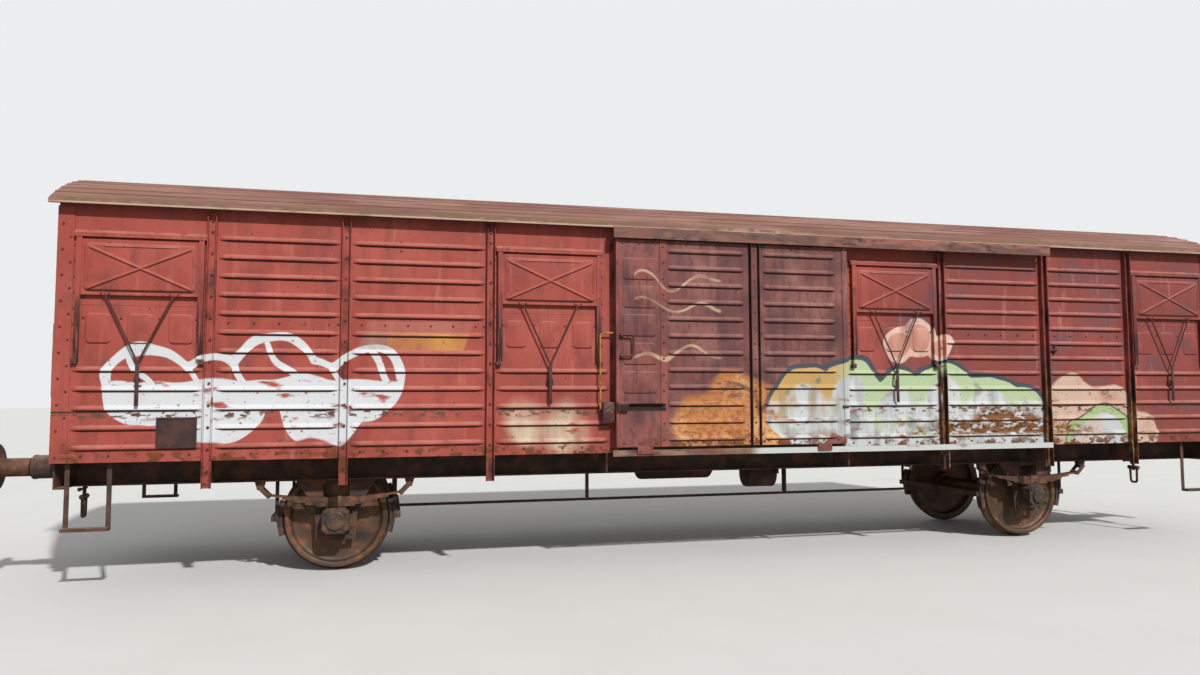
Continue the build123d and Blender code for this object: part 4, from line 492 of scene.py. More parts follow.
def body_paint(name, soot_and_shade=0.0, greasy=False):
    """Oxide red alkyd paint on pressed steel sheet: chalky, streaked by rain and rusting from the foot up."""
    look = Finish(name, bpy.context.scene.wagon_colours.body)
    look.coat("#AD5347", look.lumps(700, 0.38, 0.62))
    past_door = look.between(look.x, 1.35, 2.4)
    look.coat("#89443C", past_door, look.lumps(900, 0.2, 0.5))
    look.coat("#6E4A50", past_door, look.lumps(420, 0.50, 0.72, (1, 1, 1.7), 5.0))
    look.coat("#7A3831", look.lumps(110, 0.50, 0.95, (1, 1, 0.12), 6.0))
    look.coat("#84403A", look.lumps(190, 0.50, 0.80, (1, 1, 0.7), 6.0))
    look.coat("#C0786B", look.lumps(70, 0.60, 0.95, (1, 1, 0.14), 4.0))
    # Up-facing faces, such as the ribs' upper flanks, get pale dust and a painted highlight
    look.coat("#B9756A", look.between(look.up, 0.25, 0.8), look.lumps(200, 0.15, 0.6))
    # Dark streaks on the posts, guides and jambs: partly soot, partly painted shade of their channels
    if soot_and_shade:
        look.coat("#4E2723", look.lumps(140, 0.75 - soot_and_shade, 0.95 - soot_and_shade, (1, 1, 0.5), 5.0))
    if greasy:
        look.coat("#2B1C1A", look.between(look.z, 3.05, 2.22), look.lumps(110, 0.34, 0.50, (5, 1, 0.3)))
    spray(look, 1.33)
    if soot_and_shade:
        # Rust low on the posts and guides past the door's right end
        foot = look.between(look.x, 2.35, 2.45), look.between(look.z, 2.05, 1.90)
        look.coat("#8A5C34", *foot, look.lumps(90, 0.36, 0.50, (1, 1, 0.5), 5.0))
        look.coat("#432A22", *foot, look.lumps(120, 0.40, 0.50, (1, 1, 0.4), 5.0))
    # Painted shade: every down-facing face, such as a rib's lower flank, is darkened
    look.coat("#4A231F", look.between(look.up, -0.15, -0.55))
    if not soot_and_shade:
        # The lap of the upper sheet over the lower one holds dirt, and the paint flakes just below it
        lap = look.band(look.z, 1.582, 1.590, 1.598, 1.604)
        look.coat("#3B2420", *lap, look.lumps(130, 0.42, 0.60, (0.3, 1, 1), 4.0))
        flaked = look.band(look.z, 1.49, 1.56, 1.585, 1.610)
        look.coat("#64463A", *flaked, look.lumps(42, 0.54, 0.60, (0.5, 1, 1.3), 5.0))
    # Ochre rust that eats in from the foot of the sheets, and specks of it everywhere
    rust = look.lumps(120, 0.50, 0.58, (1, 1, 1.6), 6.0)
    look.coat("#6B3A20", look.between(look.z, 1.36, 1.15), rust)
    ragged = add(look.tree, "TexNoise", {"Vector": look.place, "Scale": 5.0, "Detail": 3.0}).outputs[0]
    ragged = add(look.tree, "Math", {0: ragged, 1: 0.30, 2: look.z}, operation="MULTIPLY_ADD").outputs[0]
    slope = {0: look.away(look.x, 3.32), 1: 0.24, 2: ragged}
    corner = look.between(add(look.tree, "Math", slope, operation="MULTIPLY_ADD").outputs[0], 1.80, 1.68)
    corner = look.meet(corner, look.between(look.z, 1.262, 1.30))
    look.coat("#7E4F28", corner, look.lumps(150, 0.42, 0.50, (1, 1, 2.0), 6.0))
    look.coat("#3F2317", corner, look.lumps(60, 0.52, 0.6, (1, 1, 2.0), 5.0))
    look.coat("#5E3020", look.lumps(26, 0.70, 0.74, detail=2.0))
    return look.settle(roughness=0.62, grain=9, depth=0.6, relief=rust, specular=0.3)


def post_paint(name):
    """The walls' paint on the posts and liners, streaked darker: partly soot, partly painted shade in their
    channels.
    """
    return body_paint(name, soot_and_shade=0.28)


def guide_paint(name):
    """The walls' paint on the shutters' guides and hoods, black with grease down the guides' feet."""
    return body_paint(name, soot_and_shade=0.16, greasy=True)


def bolt_paint(name):
    """Old brown-black paint on bolt heads, rusting at their edges."""
    look = Finish(name, "#3F201D")
    look.coat("#74403A", look.lumps(40, 0.52, 0.64, detail=4.0))
    return look.settle(roughness=0.6, grain=5, depth=0.3)


def door_paint(name):
    """Older red-brown paint on the doors: dulled to purple, sooty in streaks, redder on the left strips."""
    look = Finish(name, bpy.context.scene.wagon_colours.door)
    look.coat("#95625A", look.lumps(340, 0.42, 0.66))
    # The frame bands beside the left strip stay redder; painted shade lies along the upright channel's edges
    side = add(look.tree, "Math", {0: look.y}, operation="SIGN").outputs[0]
    along = add(look.tree, "Math", {0: look.x, 1: side}, operation="MULTIPLY").outputs[0]
    strip = look.away(along, 1.022)
    look.coat("#9A5248", *look.band(strip, 0.190, 0.205, 0.272, 0.285), look.lumps(380, 0.28, 0.52))
    look.coat("#8C5049", look.between(strip, 0.200, 0.185), look.lumps(420, 0.40, 0.62))
    look.coat("#553639", look.lumps(240, 0.48, 0.72, (1, 1, 0.45), 5.0))
    look.coat("#4A2E2F", look.lumps(75, 0.52, 0.84, (1, 1, 0.10), 6.0))
    look.coat("#573837", look.lumps(42, 0.55, 0.74, (1, 1, 0.6), 5.0))
    # Up-facing faces get pale dust and a painted highlight
    look.coat("#A97B70", look.between(look.up, 0.25, 0.8), look.lumps(160, 0.2, 0.7))
    spray(look, 1.46)
    # Painted shadow cast down from the latch ledge onto the door below it
    ledge_shadow = look.between(strip, 0.262, 0.245), *look.band(look.z, 1.562, 1.578, 1.644, 1.649)
    look.coat("#2B1A18", *ledge_shadow, look.lumps(150, 0.20, 0.36, (0.4, 1, 1)))
    # Painted shade along both edges of the upright channel, broken up in streaks
    edges = look.band(look.away(along, -0.222), 0.030, 0.040, 0.055, 0.070)
    look.coat("#33201F", *edges, look.lumps(130, 0.26, 0.46, (1, 1, 0.2)))
    # Painted shade on every down-facing face
    look.coat("#3A1F1D", look.between(look.up, -0.15, -0.55))
    rust = look.lumps(110, 0.48, 0.56, (1, 1, 1.4), 6.0)
    look.coat("#74401F", look.between(look.z, 1.42, 1.20), rust)
    return look.settle(roughness=0.66, grain=8, depth=0.7, relief=rust, specular=0.3)


def rail_paint(name):
    """Peeling red paint on the door rail's cover, brown primer and rust showing through in sheets."""
    look = Finish(name, "#7E4B41")
    peeled = look.lumps(170, 0.46, 0.54, (0.35, 1, 1.8), 6.0)
    look.coat("#9A5A4B", look.between(look.x, 0.4, 2.6))
    look.coat("#66443B", peeled)
    look.coat("#7C5A4B", look.lumps(90, 0.54, 0.64, (0.5, 1, 1), 5.0))
    look.coat("#472D27", look.lumps(60, 0.56, 0.66, (0.4, 1, 1.4), 5.0))
    # The foot rail: worn to primer, and pale with sprayed paint past the door's channel
    foot, past_channel = look.between(look.z, 1.19, 1.17), look.between(look.x, 0.14, 0.30)
    look.coat("#94735F", foot, look.lumps(110, 0.46, 0.60, (0.3, 1, 1), 5.0))
    look.coat("#C4C7C4", foot, past_channel, look.lumps(140, 0.30, 0.44, (0.4, 1, 1), 5.0))
    # Up-facing faces are painted paler
    look.coat("#A98670", look.between(look.up, 0.4, 0.9))
    return look.settle(roughness=0.68, grain=10, depth=0.8, relief=peeled)


def roof_paint(name):
    """Faded red roof paint, chalked to a dusty pink, with soot and painted shade along the beads and lichen
    near the eaves.
    """
    look = Finish(name, bpy.context.scene.wagon_colours.roof)
    look.coat("#7E4E43", look.lumps(500, 0.42, 0.64, (0.35, 1, 1)))
    look.coat("#A57E70", look.lumps(320, 0.52, 0.72, (0.3, 1, 1)))
    look.coat("#6A453B", look.lumps(60, 0.56, 0.74, (0.12, 1, 1), 4.0))
    # Dark lines where the beads meet the sheet: partly dirt, partly painted shade in the creases
    sine = add(look.tree, "Math", {0: look.y, 1: ROOF_RADIUS * MM}, operation="DIVIDE").outputs[0]
    lean = add(look.tree, "Math", {0: sine}, operation="ARCSINE").outputs[0]
    count = {0: lean, 1: ROOF_RADIUS / ROOF_BEAD_PITCH}
    bead = add(look.tree, "Math", count, operation="MULTIPLY").outputs[0]
    off_bead = add(look.tree, "Math", {0: bead, 1: 0.5}, operation="PINGPONG").outputs[0]
    lines = look.band(off_bead, 0.075, 0.115, 0.145, 0.19)
    look.coat("#4A312C", *lines, look.lumps(240, 0.30, 0.56, (0.12, 1, 1), 5.0))
    lichen = look.lumps(70, 0.40, 0.56, (0.6, 1, 1), 6.0)
    look.coat("#6E553A", look.between(look.z, 3.56, 3.48), lichen)
    look.coat("#B49785", look.between(look.z, 3.459, 3.455), look.lumps(90, 0.30, 0.5, (0.3, 1, 1), 4.0))
    # Painted shade on every down-facing face, such as the eaves' undersides
    look.coat("#5D4038", look.between(look.up, -0.1, -0.4))
    return look.settle(roughness=0.78, grain=7, depth=0.7, relief=lichen)


def frame_paint(name):
    """Dark underframe paint, nearly lost under brake dust, grease and brown rust."""
    look = Finish(name, bpy.context.scene.wagon_colours.underframe)
    look.coat("#6C4430", look.lumps(160, 0.46, 0.64, detail=6.0))
    look.coat("#2F2623", look.lumps(220, 0.52, 0.70))
    look.coat("#8A7360", look.between(look.up, 0.5, 0.9), look.lumps(80, 0.2, 0.6))
    return look.settle(roughness=0.80, grain=6, depth=0.6)


def rusty_steel(name):
    """Bare rolled and forged steel under an even brown rust, rubbed brighter where it wears."""
    look = Finish(name, "#5A3D30")
    look.coat("#7E5238", look.lumps(60, 0.46, 0.62, detail=6.0))
    look.coat("#3C2E29", look.lumps(110, 0.54, 0.68))
    return look.settle(roughness=0.62, grain=5, depth=0.5, metallic=0.25)


def wheel_steel(name):
    """Rolled wheel steel: dark brown rust on the web, with patches of oily dust."""
    look = Finish(name, "#57402F")
    look.coat("#7A5036", look.lumps(90, 0.46, 0.62, detail=6.0))
    look.coat("#3A2F2A", look.lumps(180, 0.50, 0.68))
    return look.settle(roughness=0.55, grain=6, depth=0.4, metallic=0.35)


def tread_steel(name):
    """The running surface, ground by the rails but dulled by a thin brown bloom."""
    look = Finish(name, "#8A7A6E")
    look.coat("#86583A", look.lumps(70, 0.44, 0.60, detail=5.0))
    return look.settle(roughness=0.42, grain=6, depth=0.2, metallic=0.6)


def cast_parts(name):
    """Sand-cast steel with a rough skin, black oil stains and dry brown rust."""
    look = Finish(name, "#3B302B")
    look.coat("#644532", look.lumps(90, 0.48, 0.64, detail=6.0))
    look.coat("#7C6857", look.between(look.up, 0.5, 0.9), look.lumps(60, 0.3, 0.6))
    return look.settle(roughness=0.82, grain=4, depth=1.0)


def planks(name):
    """Sawn pine boards across the wagon, grey with wear, with an open joint every 300 mm."""
    look = Finish(name, "#8A7257")
    look.coat("#6B5846", look.lumps(30, 0.42, 0.66, (1, 0.08, 1), 5.0))
    look.coat("#A08A6C", look.lumps(400, 0.5, 0.7))
    joint = add(look.tree, "Math", {0: look.x, 1: 0.15}, operation="PINGPONG").outputs[0]
    look.coat("#2B221B", look.between(joint, 0.006, 0.002))
    return look.settle(roughness=0.85, grain=12, depth=0.5)


def grab_yellow(name):
    """Ochre yellow gloss paint on the grab rails, rubbed through to brown steel by hands."""
    look = Finish(name, "#BC8434")
    look.coat("#7A5130", look.lumps(60, 0.48, 0.58, (1, 1, 0.4), 5.0))
    return look.settle(roughness=0.45, grain=5, depth=0.2)


def dark_steel(name):
    """Dark brown paint on the label frame, rods and handles, dull and thinly rusted."""
    look = Finish(name, "#4A2823")
    look.coat("#2E1D1A", look.lumps(90, 0.42, 0.60, detail=5.0))
    # A painted highlight on the up-facing faces of the rods and handles
    look.coat("#83564A", look.between(look.up, 0.35, 0.9))
    return look.settle(roughness=0.7, grain=6, depth=0.4)


FINISHES = {
    "body_paint": ("Oxide red paint on pressed sheet", body_paint),
    "post_paint": ("Sooty red paint with painted shade on posts", post_paint),
    "guide_paint": ("Greasy red paint on guides", guide_paint),
    "bolt_paint": ("Old paint on bolt heads", bolt_paint),
    "door_paint": ("Weathered red-brown door paint", door_paint),
    "rail_paint": ("Peeling paint on the rail cover", rail_paint),
    "roof_paint": ("Chalked roof paint", roof_paint),
    "frame_paint": ("Rusty underframe paint", frame_paint),
    "rusty_steel": ("Rusted rolled steel", rusty_steel),
    "wheel_steel": ("Rusted wheel steel", wheel_steel),
    "tread_steel": ("Worn tread steel", tread_steel),
    "cast_parts": ("Rough cast steel", cast_parts),
    "floor_planks": ("Worn pine boards", planks),
    "grab_yellow": ("Worn yellow gloss paint", grab_yellow),
    "label_steel": ("Dark brown label paint", dark_steel),
}


def surface(key):
    """The finish of a name, made once."""
    name, make = FINISHES[key]
    return bpy.data.materials.get(name) or make(name)


def stencil(bm):
    """A shape that is stamped many times, as a mesh."""
    bmesh.ops.recalc_face_normals(bm, faces=bm.faces)
    mesh = bpy.data.meshes.new("stencil")
    bm.to_mesh(mesh)
    bm.free()
    return mesh


class Form:
    """A piece in the making: shapes stamped and bars bent on a face of the wagon, at places in mm."""

    def __init__(self, face=NO_TURN):
        self.bm = bmesh.new()
        self.face = face

    def spot(self, x, y, out=0):
        """A place on the face: along it, over the flange tips and out from the wagon's middle."""
        return self.face @ Matrix.Translation((x * MM, y * MM, out * MM))

    def stamp(self, shape, places=((0, 0),), out=0, middle=(0, 0), turn=NO_TURN):
        """Adds a copy of a shape at each place from a middle, turned in itself."""
        for x, y in places:
            copy = shape.copy()
            copy.transform(self.spot(middle[0] + x, middle[1] + y, out) @ turn)
            self.bm.from_mesh(copy)
            bpy.data.meshes.remove(copy)

    def tube(self, places, radius, bend):
        """A round bar through places (along, up, out), bent at its corners."""
        points = [self.spot(*place).translation / MM for place in places]
        curve = bpy.data.curves.new("bar", "CURVE")
        curve.dimensions = "3D"
        curve.bevel_depth = radius * MM
        curve.bevel_resolution = 3
        curve.use_fill_caps = True
        rounded = [points[0]]
        for before, corner, after in zip(points, points[1:], points[2:]):
            start = (before - corner).normalized() * bend
            end = (after - corner).normalized() * bend
            for step in range(7):
                share = step / 6
                rounded.append(corner + start * (1 - share) ** 2 + end * share**2)
        rounded.append(points[-1])
        spline = curve.splines.new("POLY")
        spline.points.add(len(rounded) - 1)
        for knot, point in zip(spline.points, rounded):
            knot.co = (*(point * MM), 1)
        holder = bpy.data.objects.new("bar", curve)
        bpy.context.scene.collection.objects.link(holder)
        bpy.context.view_layer.update()
        mesh = bpy.data.meshes.new_from_object(holder.evaluated_get(bpy.context.evaluated_depsgraph_get()))
        bpy.data.objects.remove(holder)
        bpy.data.curves.remove(curve)
        self.bm.from_mesh(mesh)
        bpy.data.meshes.remove(mesh)

    def link(self, name, finish, slot, body="wagon", crease=35):
        """Links the finished form as one piece of the wagon that moves with a body."""
        bmesh.ops.recalc_face_normals(self.bm, faces=self.bm.faces)
        mesh = bpy.data.meshes.new(name)
        self.bm.to_mesh(mesh)
        self.bm.free()
        for polygon in mesh.polygons:
            polygon.use_smooth = True
        mesh.set_sharp_from_angle(angle=math.radians(crease))
        mesh.materials.append(surface(finish))
        made = bpy.data.objects.new(name, mesh)
        bpy.context.scene.collection.objects.link(made)
        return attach(made, body)


def close_back(bm, depth):
    """Closes an open shell: its rim goes back by a depth and is filled."""
    rim = [edge for edge in bm.edges if edge.is_boundary]
    made = bmesh.ops.extrude_edge_only(bm, edges=rim)["geom"]
    back = [item for item in made if isinstance(item, bmesh.types.BMVert)]
    bmesh.ops.translate(bm, vec=(0, 0, -depth * MM), verts=back)
    bmesh.ops.holes_fill(bm, edges=[edge for edge in bm.edges if edge.is_boundary], sides=0)


def rib(length, width, height, taper):
    """A pressed rib: steep below its crest, sloping above it, and run out to a rounded point at both ends."""
    bm = bmesh.new()
    across = len(RIB_SECTION) - 1
    along = 2 * RIB_END_STEPS + 2
    bmesh.ops.create_grid(bm, x_segments=along, y_segments=across, size=0.5)
    half = length / 2
    for vert in bm.verts:
        step = abs(vert.co.x) * along
        side = math.copysign(1, vert.co.x) if abs(vert.co.x) > 1e-6 else 0
        run = max(0.0, step - 1) / RIB_END_STEPS
        share, rise = RIB_SECTION[round((vert.co.y + 0.5) * across)]
        fade = math.cos(run * math.pi / 2)
        vert.co.x = side * (half - taper * (1 - run)) * MM
        vert.co.y = share * width / 2 * (0.6 + 0.4 * fade) * MM
        vert.co.z = rise * height * fade * MM
    close_back(bm, 4)
    return stencil(bm)


def raised_panel(width, height, rise, corner, slope):
    """A flat panel pressed out of the sheet, with round corners and sloping sides."""
    bm = bmesh.new()
    bmesh.ops.create_grid(bm, x_segments=1, y_segments=1, size=0.5)
    bmesh.ops.scale(bm, vec=(width * MM, height * MM, 1), verts=bm.verts)
    bmesh.ops.bevel(
        bm, geom=bm.verts[:], affect="VERTICES", offset=corner * MM, segments=5, profile=0.5, material=-1
    )
    for inset, lift in ((0.45, 0.62), (0.35, 0.30), (0.20, 0.08)):
        flat = max(bm.faces, key=lambda face: face.calc_area())
        bmesh.ops.inset_individual(bm, faces=[flat], thickness=slope * inset * MM, depth=rise * lift * MM)
    close_back(bm, 3)
    return stencil(bm)


def bolt_head(across, height):
    """A hexagon head with its top edge turned down, sunk 2 mm into its seat."""
    bm = bmesh.new()
    radius = across / math.sqrt(3) * MM
    bmesh.ops.create_cone(
        bm, cap_ends=True, segments=6, radius1=radius, radius2=radius * 0.86, depth=(height + 2) * MM,
        matrix=Matrix.Translation((0, 0, (height / 2 - 1) * MM)),
    )
    return stencil(bm)


def bar(low, high, edge):
    """A bar or plate between two corners in mm, its edges rounded."""
    bm = bmesh.new()
    middle = [(a + b) / 2 * MM for a, b in zip(low, high)]
    size = [abs(b - a) * MM for a, b in zip(low, high)]
    bmesh.ops.create_cube(bm, size=1.0, matrix=Matrix.Translation(middle) @ Matrix.Diagonal((*size, 1)))
    bmesh.ops.bevel(
        bm, geom=bm.edges[:], affect="EDGES", offset=edge * MM, segments=2, profile=0.5, material=-1
    )
    return stencil(bm)


def turned(outline, steps):
    """A turned form: an outline of (radius, height) in mm spun about local z."""
    bm = bmesh.new()
    points = [bm.verts.new((radius * MM, 0, height * MM)) for radius, height in outline]
    edges = [bm.edges.new(pair) for pair in zip(points, points[1:])]
    path = dict(cent=(0, 0, 0), axis=(0, 0, 1), angle=math.radians(360), steps=steps, use_merge=True)
    bmesh.ops.spin(bm, geom=points + edges, **path)
    bmesh.ops.remove_doubles(bm, verts=bm.verts[:], dist=0.0002)
    return stencil(bm)


def mirrored(half):
    """The outline of a turned part from that of its first half, up to the middle."""
    return half + tuple((radius, -place) for radius, place in reversed(half[:-1]))


def pin(radius, half, edge, steps):
    """A round pin about its middle, its ends bevelled."""
    side = ((radius, edge - half), (radius, half - edge))
    return turned(((0, -half), (radius - edge, -half), *side, (radius - edge, half), (0, half)), steps)


def bay_ribs():
    """The wall ribs of one side: the places (x, z) of each length, in mm."""
    ribs = {}
    for start, end, count in RIB_BAYS:
        middle = BODY_END - (start + end) / 2
        places = [(x, z) for z in rows(RIB_FIRST, RIB_PITCH, count) for x in both(middle)]
        ribs.setdefault(end - start - RIB_GAP, []).extend(places)
    return sorted(ribs.items())


class WAGON_OT_wall_pressings(bpy.types.Operator):
    """Press the ribs and flat panels into the side and end sheets"""

    bl_idname = "wagon.wall_pressings"
    bl_label = "Wall pressings"

    def execute(self, context):
        sizes = context.scene.wagon_sheet_sizes
        width, height = sizes.rib_width / MM, sizes.rib_height / MM
        panel = raised_panel(214, 276, rise=sizes.pressing_rise / MM, corner=46, slope=16)
        for side, face in SIDES.items():
            ribs = Form(face)
            for length, places in bay_ribs():
                ribs.stamp(rib(length + WALL_RIB_TIPS, width, height, taper=88), places, SHEET_OUT)
            ribs.link(f"wall_ribs_{side}", "body_paint", "body_paint")
            panels = Form(face)
            for x in HATCHES.values():
                panels.stamp(panel, HATCH_PANELS, SHEET_OUT, (x, 0))
            panels.link(f"hatch_panels_{side}", "body_paint", "body_paint")
        for end, face in ENDS.items():
            ribs = Form(face)
            for middle, length in END_RIB_SPANS:
                places = grid((middle,), rows(RIB_FIRST, RIB_PITCH, END_RIB_ROWS))
                ribs.stamp(rib(length + RIB_TIPS, width, height=18, taper=84), places, SHEET_END)
            ribs.link(f"end_ribs_{end}", "body_paint", "body_paint")
        return {"FINISHED"}


class WAGON_OT_wall_bolts(bpy.types.Operator):
    """Set the bolt rows in the posts, along the sheet joints and on the corner plates"""

    bl_idname = "wagon.wall_bolts"
    bl_label = "Wall bolts"

    def execute(self, context):
        across = context.scene.wagon_sheet_sizes.bolt_width / MM
        head = bolt_head(across, 9)
        small = bolt_head(across * 0.8, 7)
        for side, face in SIDES.items():
            bolts = Form(face)
            for x in POSTS:
                bolts.stamp(head, grid(both(x), POST_BOLT_ROWS), SHEET_OUT + 6)
            for sign in (-1, 1):
                for x, heights in CORNER_BOLT_ROWS:
                    bolts.stamp(small, grid((sign * x,), heights), SHEET_OUT + 8)
                seams = [(sign * (BODY_END - place), z) for place, z in SEAM_BOLTS + FOOT_SEAM_BOLTS]
                bolts.stamp(small, seams, SHEET_OUT)
            bolts.stamp(small, LABEL_BOLTS, SHEET_OUT)
            bolts.link(f"wall_bolts_{side}", "bolt_paint", "body_paint")
        for end, face in ENDS.items():
            bolts = Form(face)
            bolts.stamp(head, END_POST_BOLTS, SHEET_END + 6)
            bolts.stamp(small, END_CORNER_BOLTS, SHEET_END + 8)
            bolts.link(f"end_bolts_{end}", "bolt_paint", "body_paint")
        return {"FINISHED"}


class WAGON_OT_shutters(bpy.types.Operator):
    """Finish the vent shutters with a raised panel, braces, beads and pull rods"""

    bl_idname = "wagon.shutters"
    bl_label = "Vent shutters"

    def execute(self, context):
        wide, tall = 2 * SHUTTER_HALF, SHUTTER_TOP - SHUTTER_FOOT
        middle = (SHUTTER_TOP + SHUTTER_FOOT) / 2
        slope = math.atan2(tall - 120, wide - 120)
        pad = raised_panel(wide - 60, tall - 66, rise=13, corner=46, slope=26)
        brace = rib(985, width=56, height=23, taper=60)
        bead = rib(640, width=28, height=20, taper=30)
        upright = rib(290, width=26, height=19, taper=30)
        flange = bar((-SHUTTER_HALF + 16, -7, -2), (SHUTTER_HALF - 16, 7, 8), edge=2)
        lug = bar((-44, -15, -2), (44, 15, 7), edge=3)
        link = bar((-16, -389, -6), (16, 16, 6), edge=2)
        head = bolt_head(18, 6)
        for side, face in SIDES.items():
            for number, x in HATCHES.items():
                body = f"{side}_shutter_{number}"
                trim = Form(face)
                trim.stamp(pad, out=SHUTTER_FACE, middle=(x, middle))
                for angle in (slope, -slope):
                    lean = Matrix.Rotation(angle, 4, "Z")
                    trim.stamp(brace, out=SHUTTER_FACE, middle=(x, middle), turn=lean)
                trim.stamp(bead, [(x, SHUTTER_TOP - 62)], SHUTTER_FACE)
                trim.stamp(upright, grid(both(432), (middle,)), SHUTTER_FACE, (x, 0), rotation(90, "Z"))
                trim.stamp(flange, [(x, SHUTTER_FOOT + 9)], SHUTTER_FACE)
                trim.stamp(lug, grid(both(SHUTTER_LUG_X), (SHUTTER_FOOT + 17,)), SHUTTER_FACE, (x, 0))
                trim.link(f"shutter_trim_{side}_{number}", "body_paint", "body_paint", body)
                rods = Form(face)
                for shift in both(SHUTTER_LUG_X):
                    lug_end = (x + shift, SHUTTER_FOOT + 15, PULL_OUT)
                    rods.tube([lug_end, (x, PULL_NODE, PULL_OUT)], PULL_ROD, bend=10)
                    rods.stamp(head, grid(both(33), (SHUTTER_FOOT + 17,)), SHUTTER_FACE + 7, (x + shift, 0))
                rods.stamp(link, [(x, PULL_NODE)], PULL_OUT)
                rods.stamp(head, grid((x,), (PULL_NODE, PULL_NODE - PULL_DROP)), PULL_OUT + 6)
                rods.link(f"pull_rods_{side}_{number}", "label_steel", "body_paint", body)
        return {"FINISHED"}


class WAGON_OT_hatch_fittings(bpy.types.Operator):
    """Bolt the shutters' guides to the walls, with their foot stops and the sheet's lap under the windows"""

    bl_idname = "wagon.hatch_fittings"
    bl_label = "Hatch fittings"

    def execute(self, context):
        head = bolt_head(context.scene.wagon_sheet_sizes.bolt_width * 0.75 / MM, 7)
        stop = bar((-25, -23, -2), (25, 23, 44), edge=5)
        lap = bar((-478, -3, -2), (478, 3, 2.5), edge=1)
        door_stop = bar((-64, -108, -2), (64, 108, 102), edge=14)
        catch = bar((-48, -17, -2), (58, 17, 36), edge=6)
        catch_tip = bar((22, -40, 6), (54, 40, 40), edge=6)
        for side, face in SIDES.items():
            fittings = Form(face)
            laps = Form(face)
            for x in HATCHES.values():
                for sign in (-1, 1):
                    columns = [sign * column for column in FRAME_BOLT_COLUMNS]
                    fittings.stamp(head, grid((sign * GUIDE_BOLT_X,), GUIDE_BOLT_ROWS), SHEET_OUT, (x, 0))
                    fittings.stamp(stop, [(sign * GUIDE_STOP[0], GUIDE_STOP[1])], SHEET_OUT, (x, 0))
                    fittings.stamp(head, grid(columns, (FRAME_BOLT_Z,)), SHEET_OUT, (x, 0))
                laps.stamp(lap, [(x, LAP_Z)], SHEET_OUT)
            # The stop that the closed door meets, and the catch that holds the open door
            fittings.stamp(door_stop, [DOOR_STOP], SHEET_OUT)
            fittings.stamp(catch, [DOOR_CATCH], SHEET_OUT)
            fittings.stamp(catch_tip, [DOOR_CATCH], SHEET_OUT)
            fittings.link(f"hatch_fittings_{side}", "bolt_paint", "body_paint")
            laps.link(f"hatch_laps_{side}", "body_paint", "body_paint")
        return {"FINISHED"}


class WAGON_OT_doors(bpy.types.Operator):
    """Press the doors' ribs and panels and set their bolts and handles"""

    bl_idname = "wagon.doors"
    bl_label = "Sliding doors"

    def execute(self, context):
        sizes = context.scene.wagon_sheet_sizes
        small = bolt_head(sizes.bolt_width / MM * 0.8, 7)
        panel = raised_panel(360, 230, rise=7, corner=40, slope=14)
        foot = bar((-30, -26, -2), (30, 26, 7), edge=3)
        latch = bar((-36, -14, -2), (34, 14, 20), edge=4)
        for side, face in SIDES.items():
            pressings = Form(face)
            for start, end in DOOR_RIB_SPANS:
                shape = rib(end - start + RIB_TIPS, sizes.rib_width / MM, height=18.5, taper=46)
                pressings.stamp(shape, grid((DOOR_LEFT + (start + end) / 2,), DOOR_RIB_ROWS), DOOR_OUT)
            pressings.stamp(panel, DOOR_PANELS, DOOR_OUT)
            pressings.link(f"door_pressings_{side}", "door_paint", "door_paint", f"{side}_door")
            bolts = Form(face)
            for place, out in DOOR_POSTS:
                bolts.stamp(small, grid((DOOR_LEFT + place,), DOOR_POST_BOLT_ROWS), DOOR_OUT + out)
            bolts.stamp(small, DOOR_EDGE_BOLTS, DOOR_OUT)
            bolts.link(f"door_bolts_{side}", "bolt_paint", "door_paint", f"{side}_door")
            handle = Form(face)
            handle.tube([(x, z, DOOR_OUT + out) for x, z, out in HANDLE], HANDLE_ROD, bend=22)
            handle.stamp(foot, HANDLE_FEET, DOOR_OUT)
            handle.stamp(latch, [LATCH], DOOR_OUT)
            handle.link(f"door_handle_{side}", "label_steel", "door_paint", f"{side}_door")
        return {"FINISHED"}


class WAGON_OT_roof(bpy.types.Operator):
    """Roll the arched roof sheet with its lengthwise beads"""

    bl_idname = "wagon.roof"
    bl_label = "Roof"

    def execute(self, context):
        rise = context.scene.wagon_sheet_sizes.roof_bead_height / MM
        # The arch ends where its shoulder starts; the shoulder turns down to the eave
        shoulder_y = ROOF_HALF_WIDTH - ROOF_SHOULDER
        angle = math.asin(shoulder_y / (ROOF_RADIUS - ROOF_SHOULDER))
        shoulder_z = ROOF_CENTRE + (ROOF_RADIUS - ROOF_SHOULDER) * math.cos(angle)
        arc = angle * ROOF_RADIUS
        reach = arc + ROOF_SHOULDER * (math.pi / 2 - angle)
        roof = Form()
        bmesh.ops.create_grid(roof.bm, x_segments=1, y_segments=380, size=0.5)
        for vert in roof.bm.verts:
            along = vert.co.y * 2 * reach
            run = abs(along)
            nearest = round(run / ROOF_BEAD_PITCH)
            off = abs(run - nearest * ROOF_BEAD_PITCH)
            lean, radius, y, z = run / ROOF_RADIUS, ROOF_RADIUS, 0, ROOF_CENTRE
            if run > arc:
                lean = angle + (run - arc) / ROOF_SHOULDER
                radius, y, z = ROOF_SHOULDER, shoulder_y, shoulder_z
            elif nearest <= ROOF_BEADS and off < ROOF_BEAD_HALF:
                radius += rise * math.cos(off / ROOF_BEAD_HALF * math.pi / 2) ** 2
            y, z = y + radius * math.sin(lean), z + radius * math.cos(lean)
            vert.co = (vert.co.x * 2 * ROOF_HALF_LENGTH * MM, math.copysign(y, along) * MM, z * MM)
        bmesh.ops.recalc_face_normals(roof.bm, faces=roof.bm.faces)
        bmesh.ops.solidify(roof.bm, geom=roof.bm.faces[:], thickness=ROOF_SHEET * MM)
        made = roof.link("roof_sheet", "roof_paint", "roof_paint", crease=50)
        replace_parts(made, "roof")
        return {"FINISHED"}


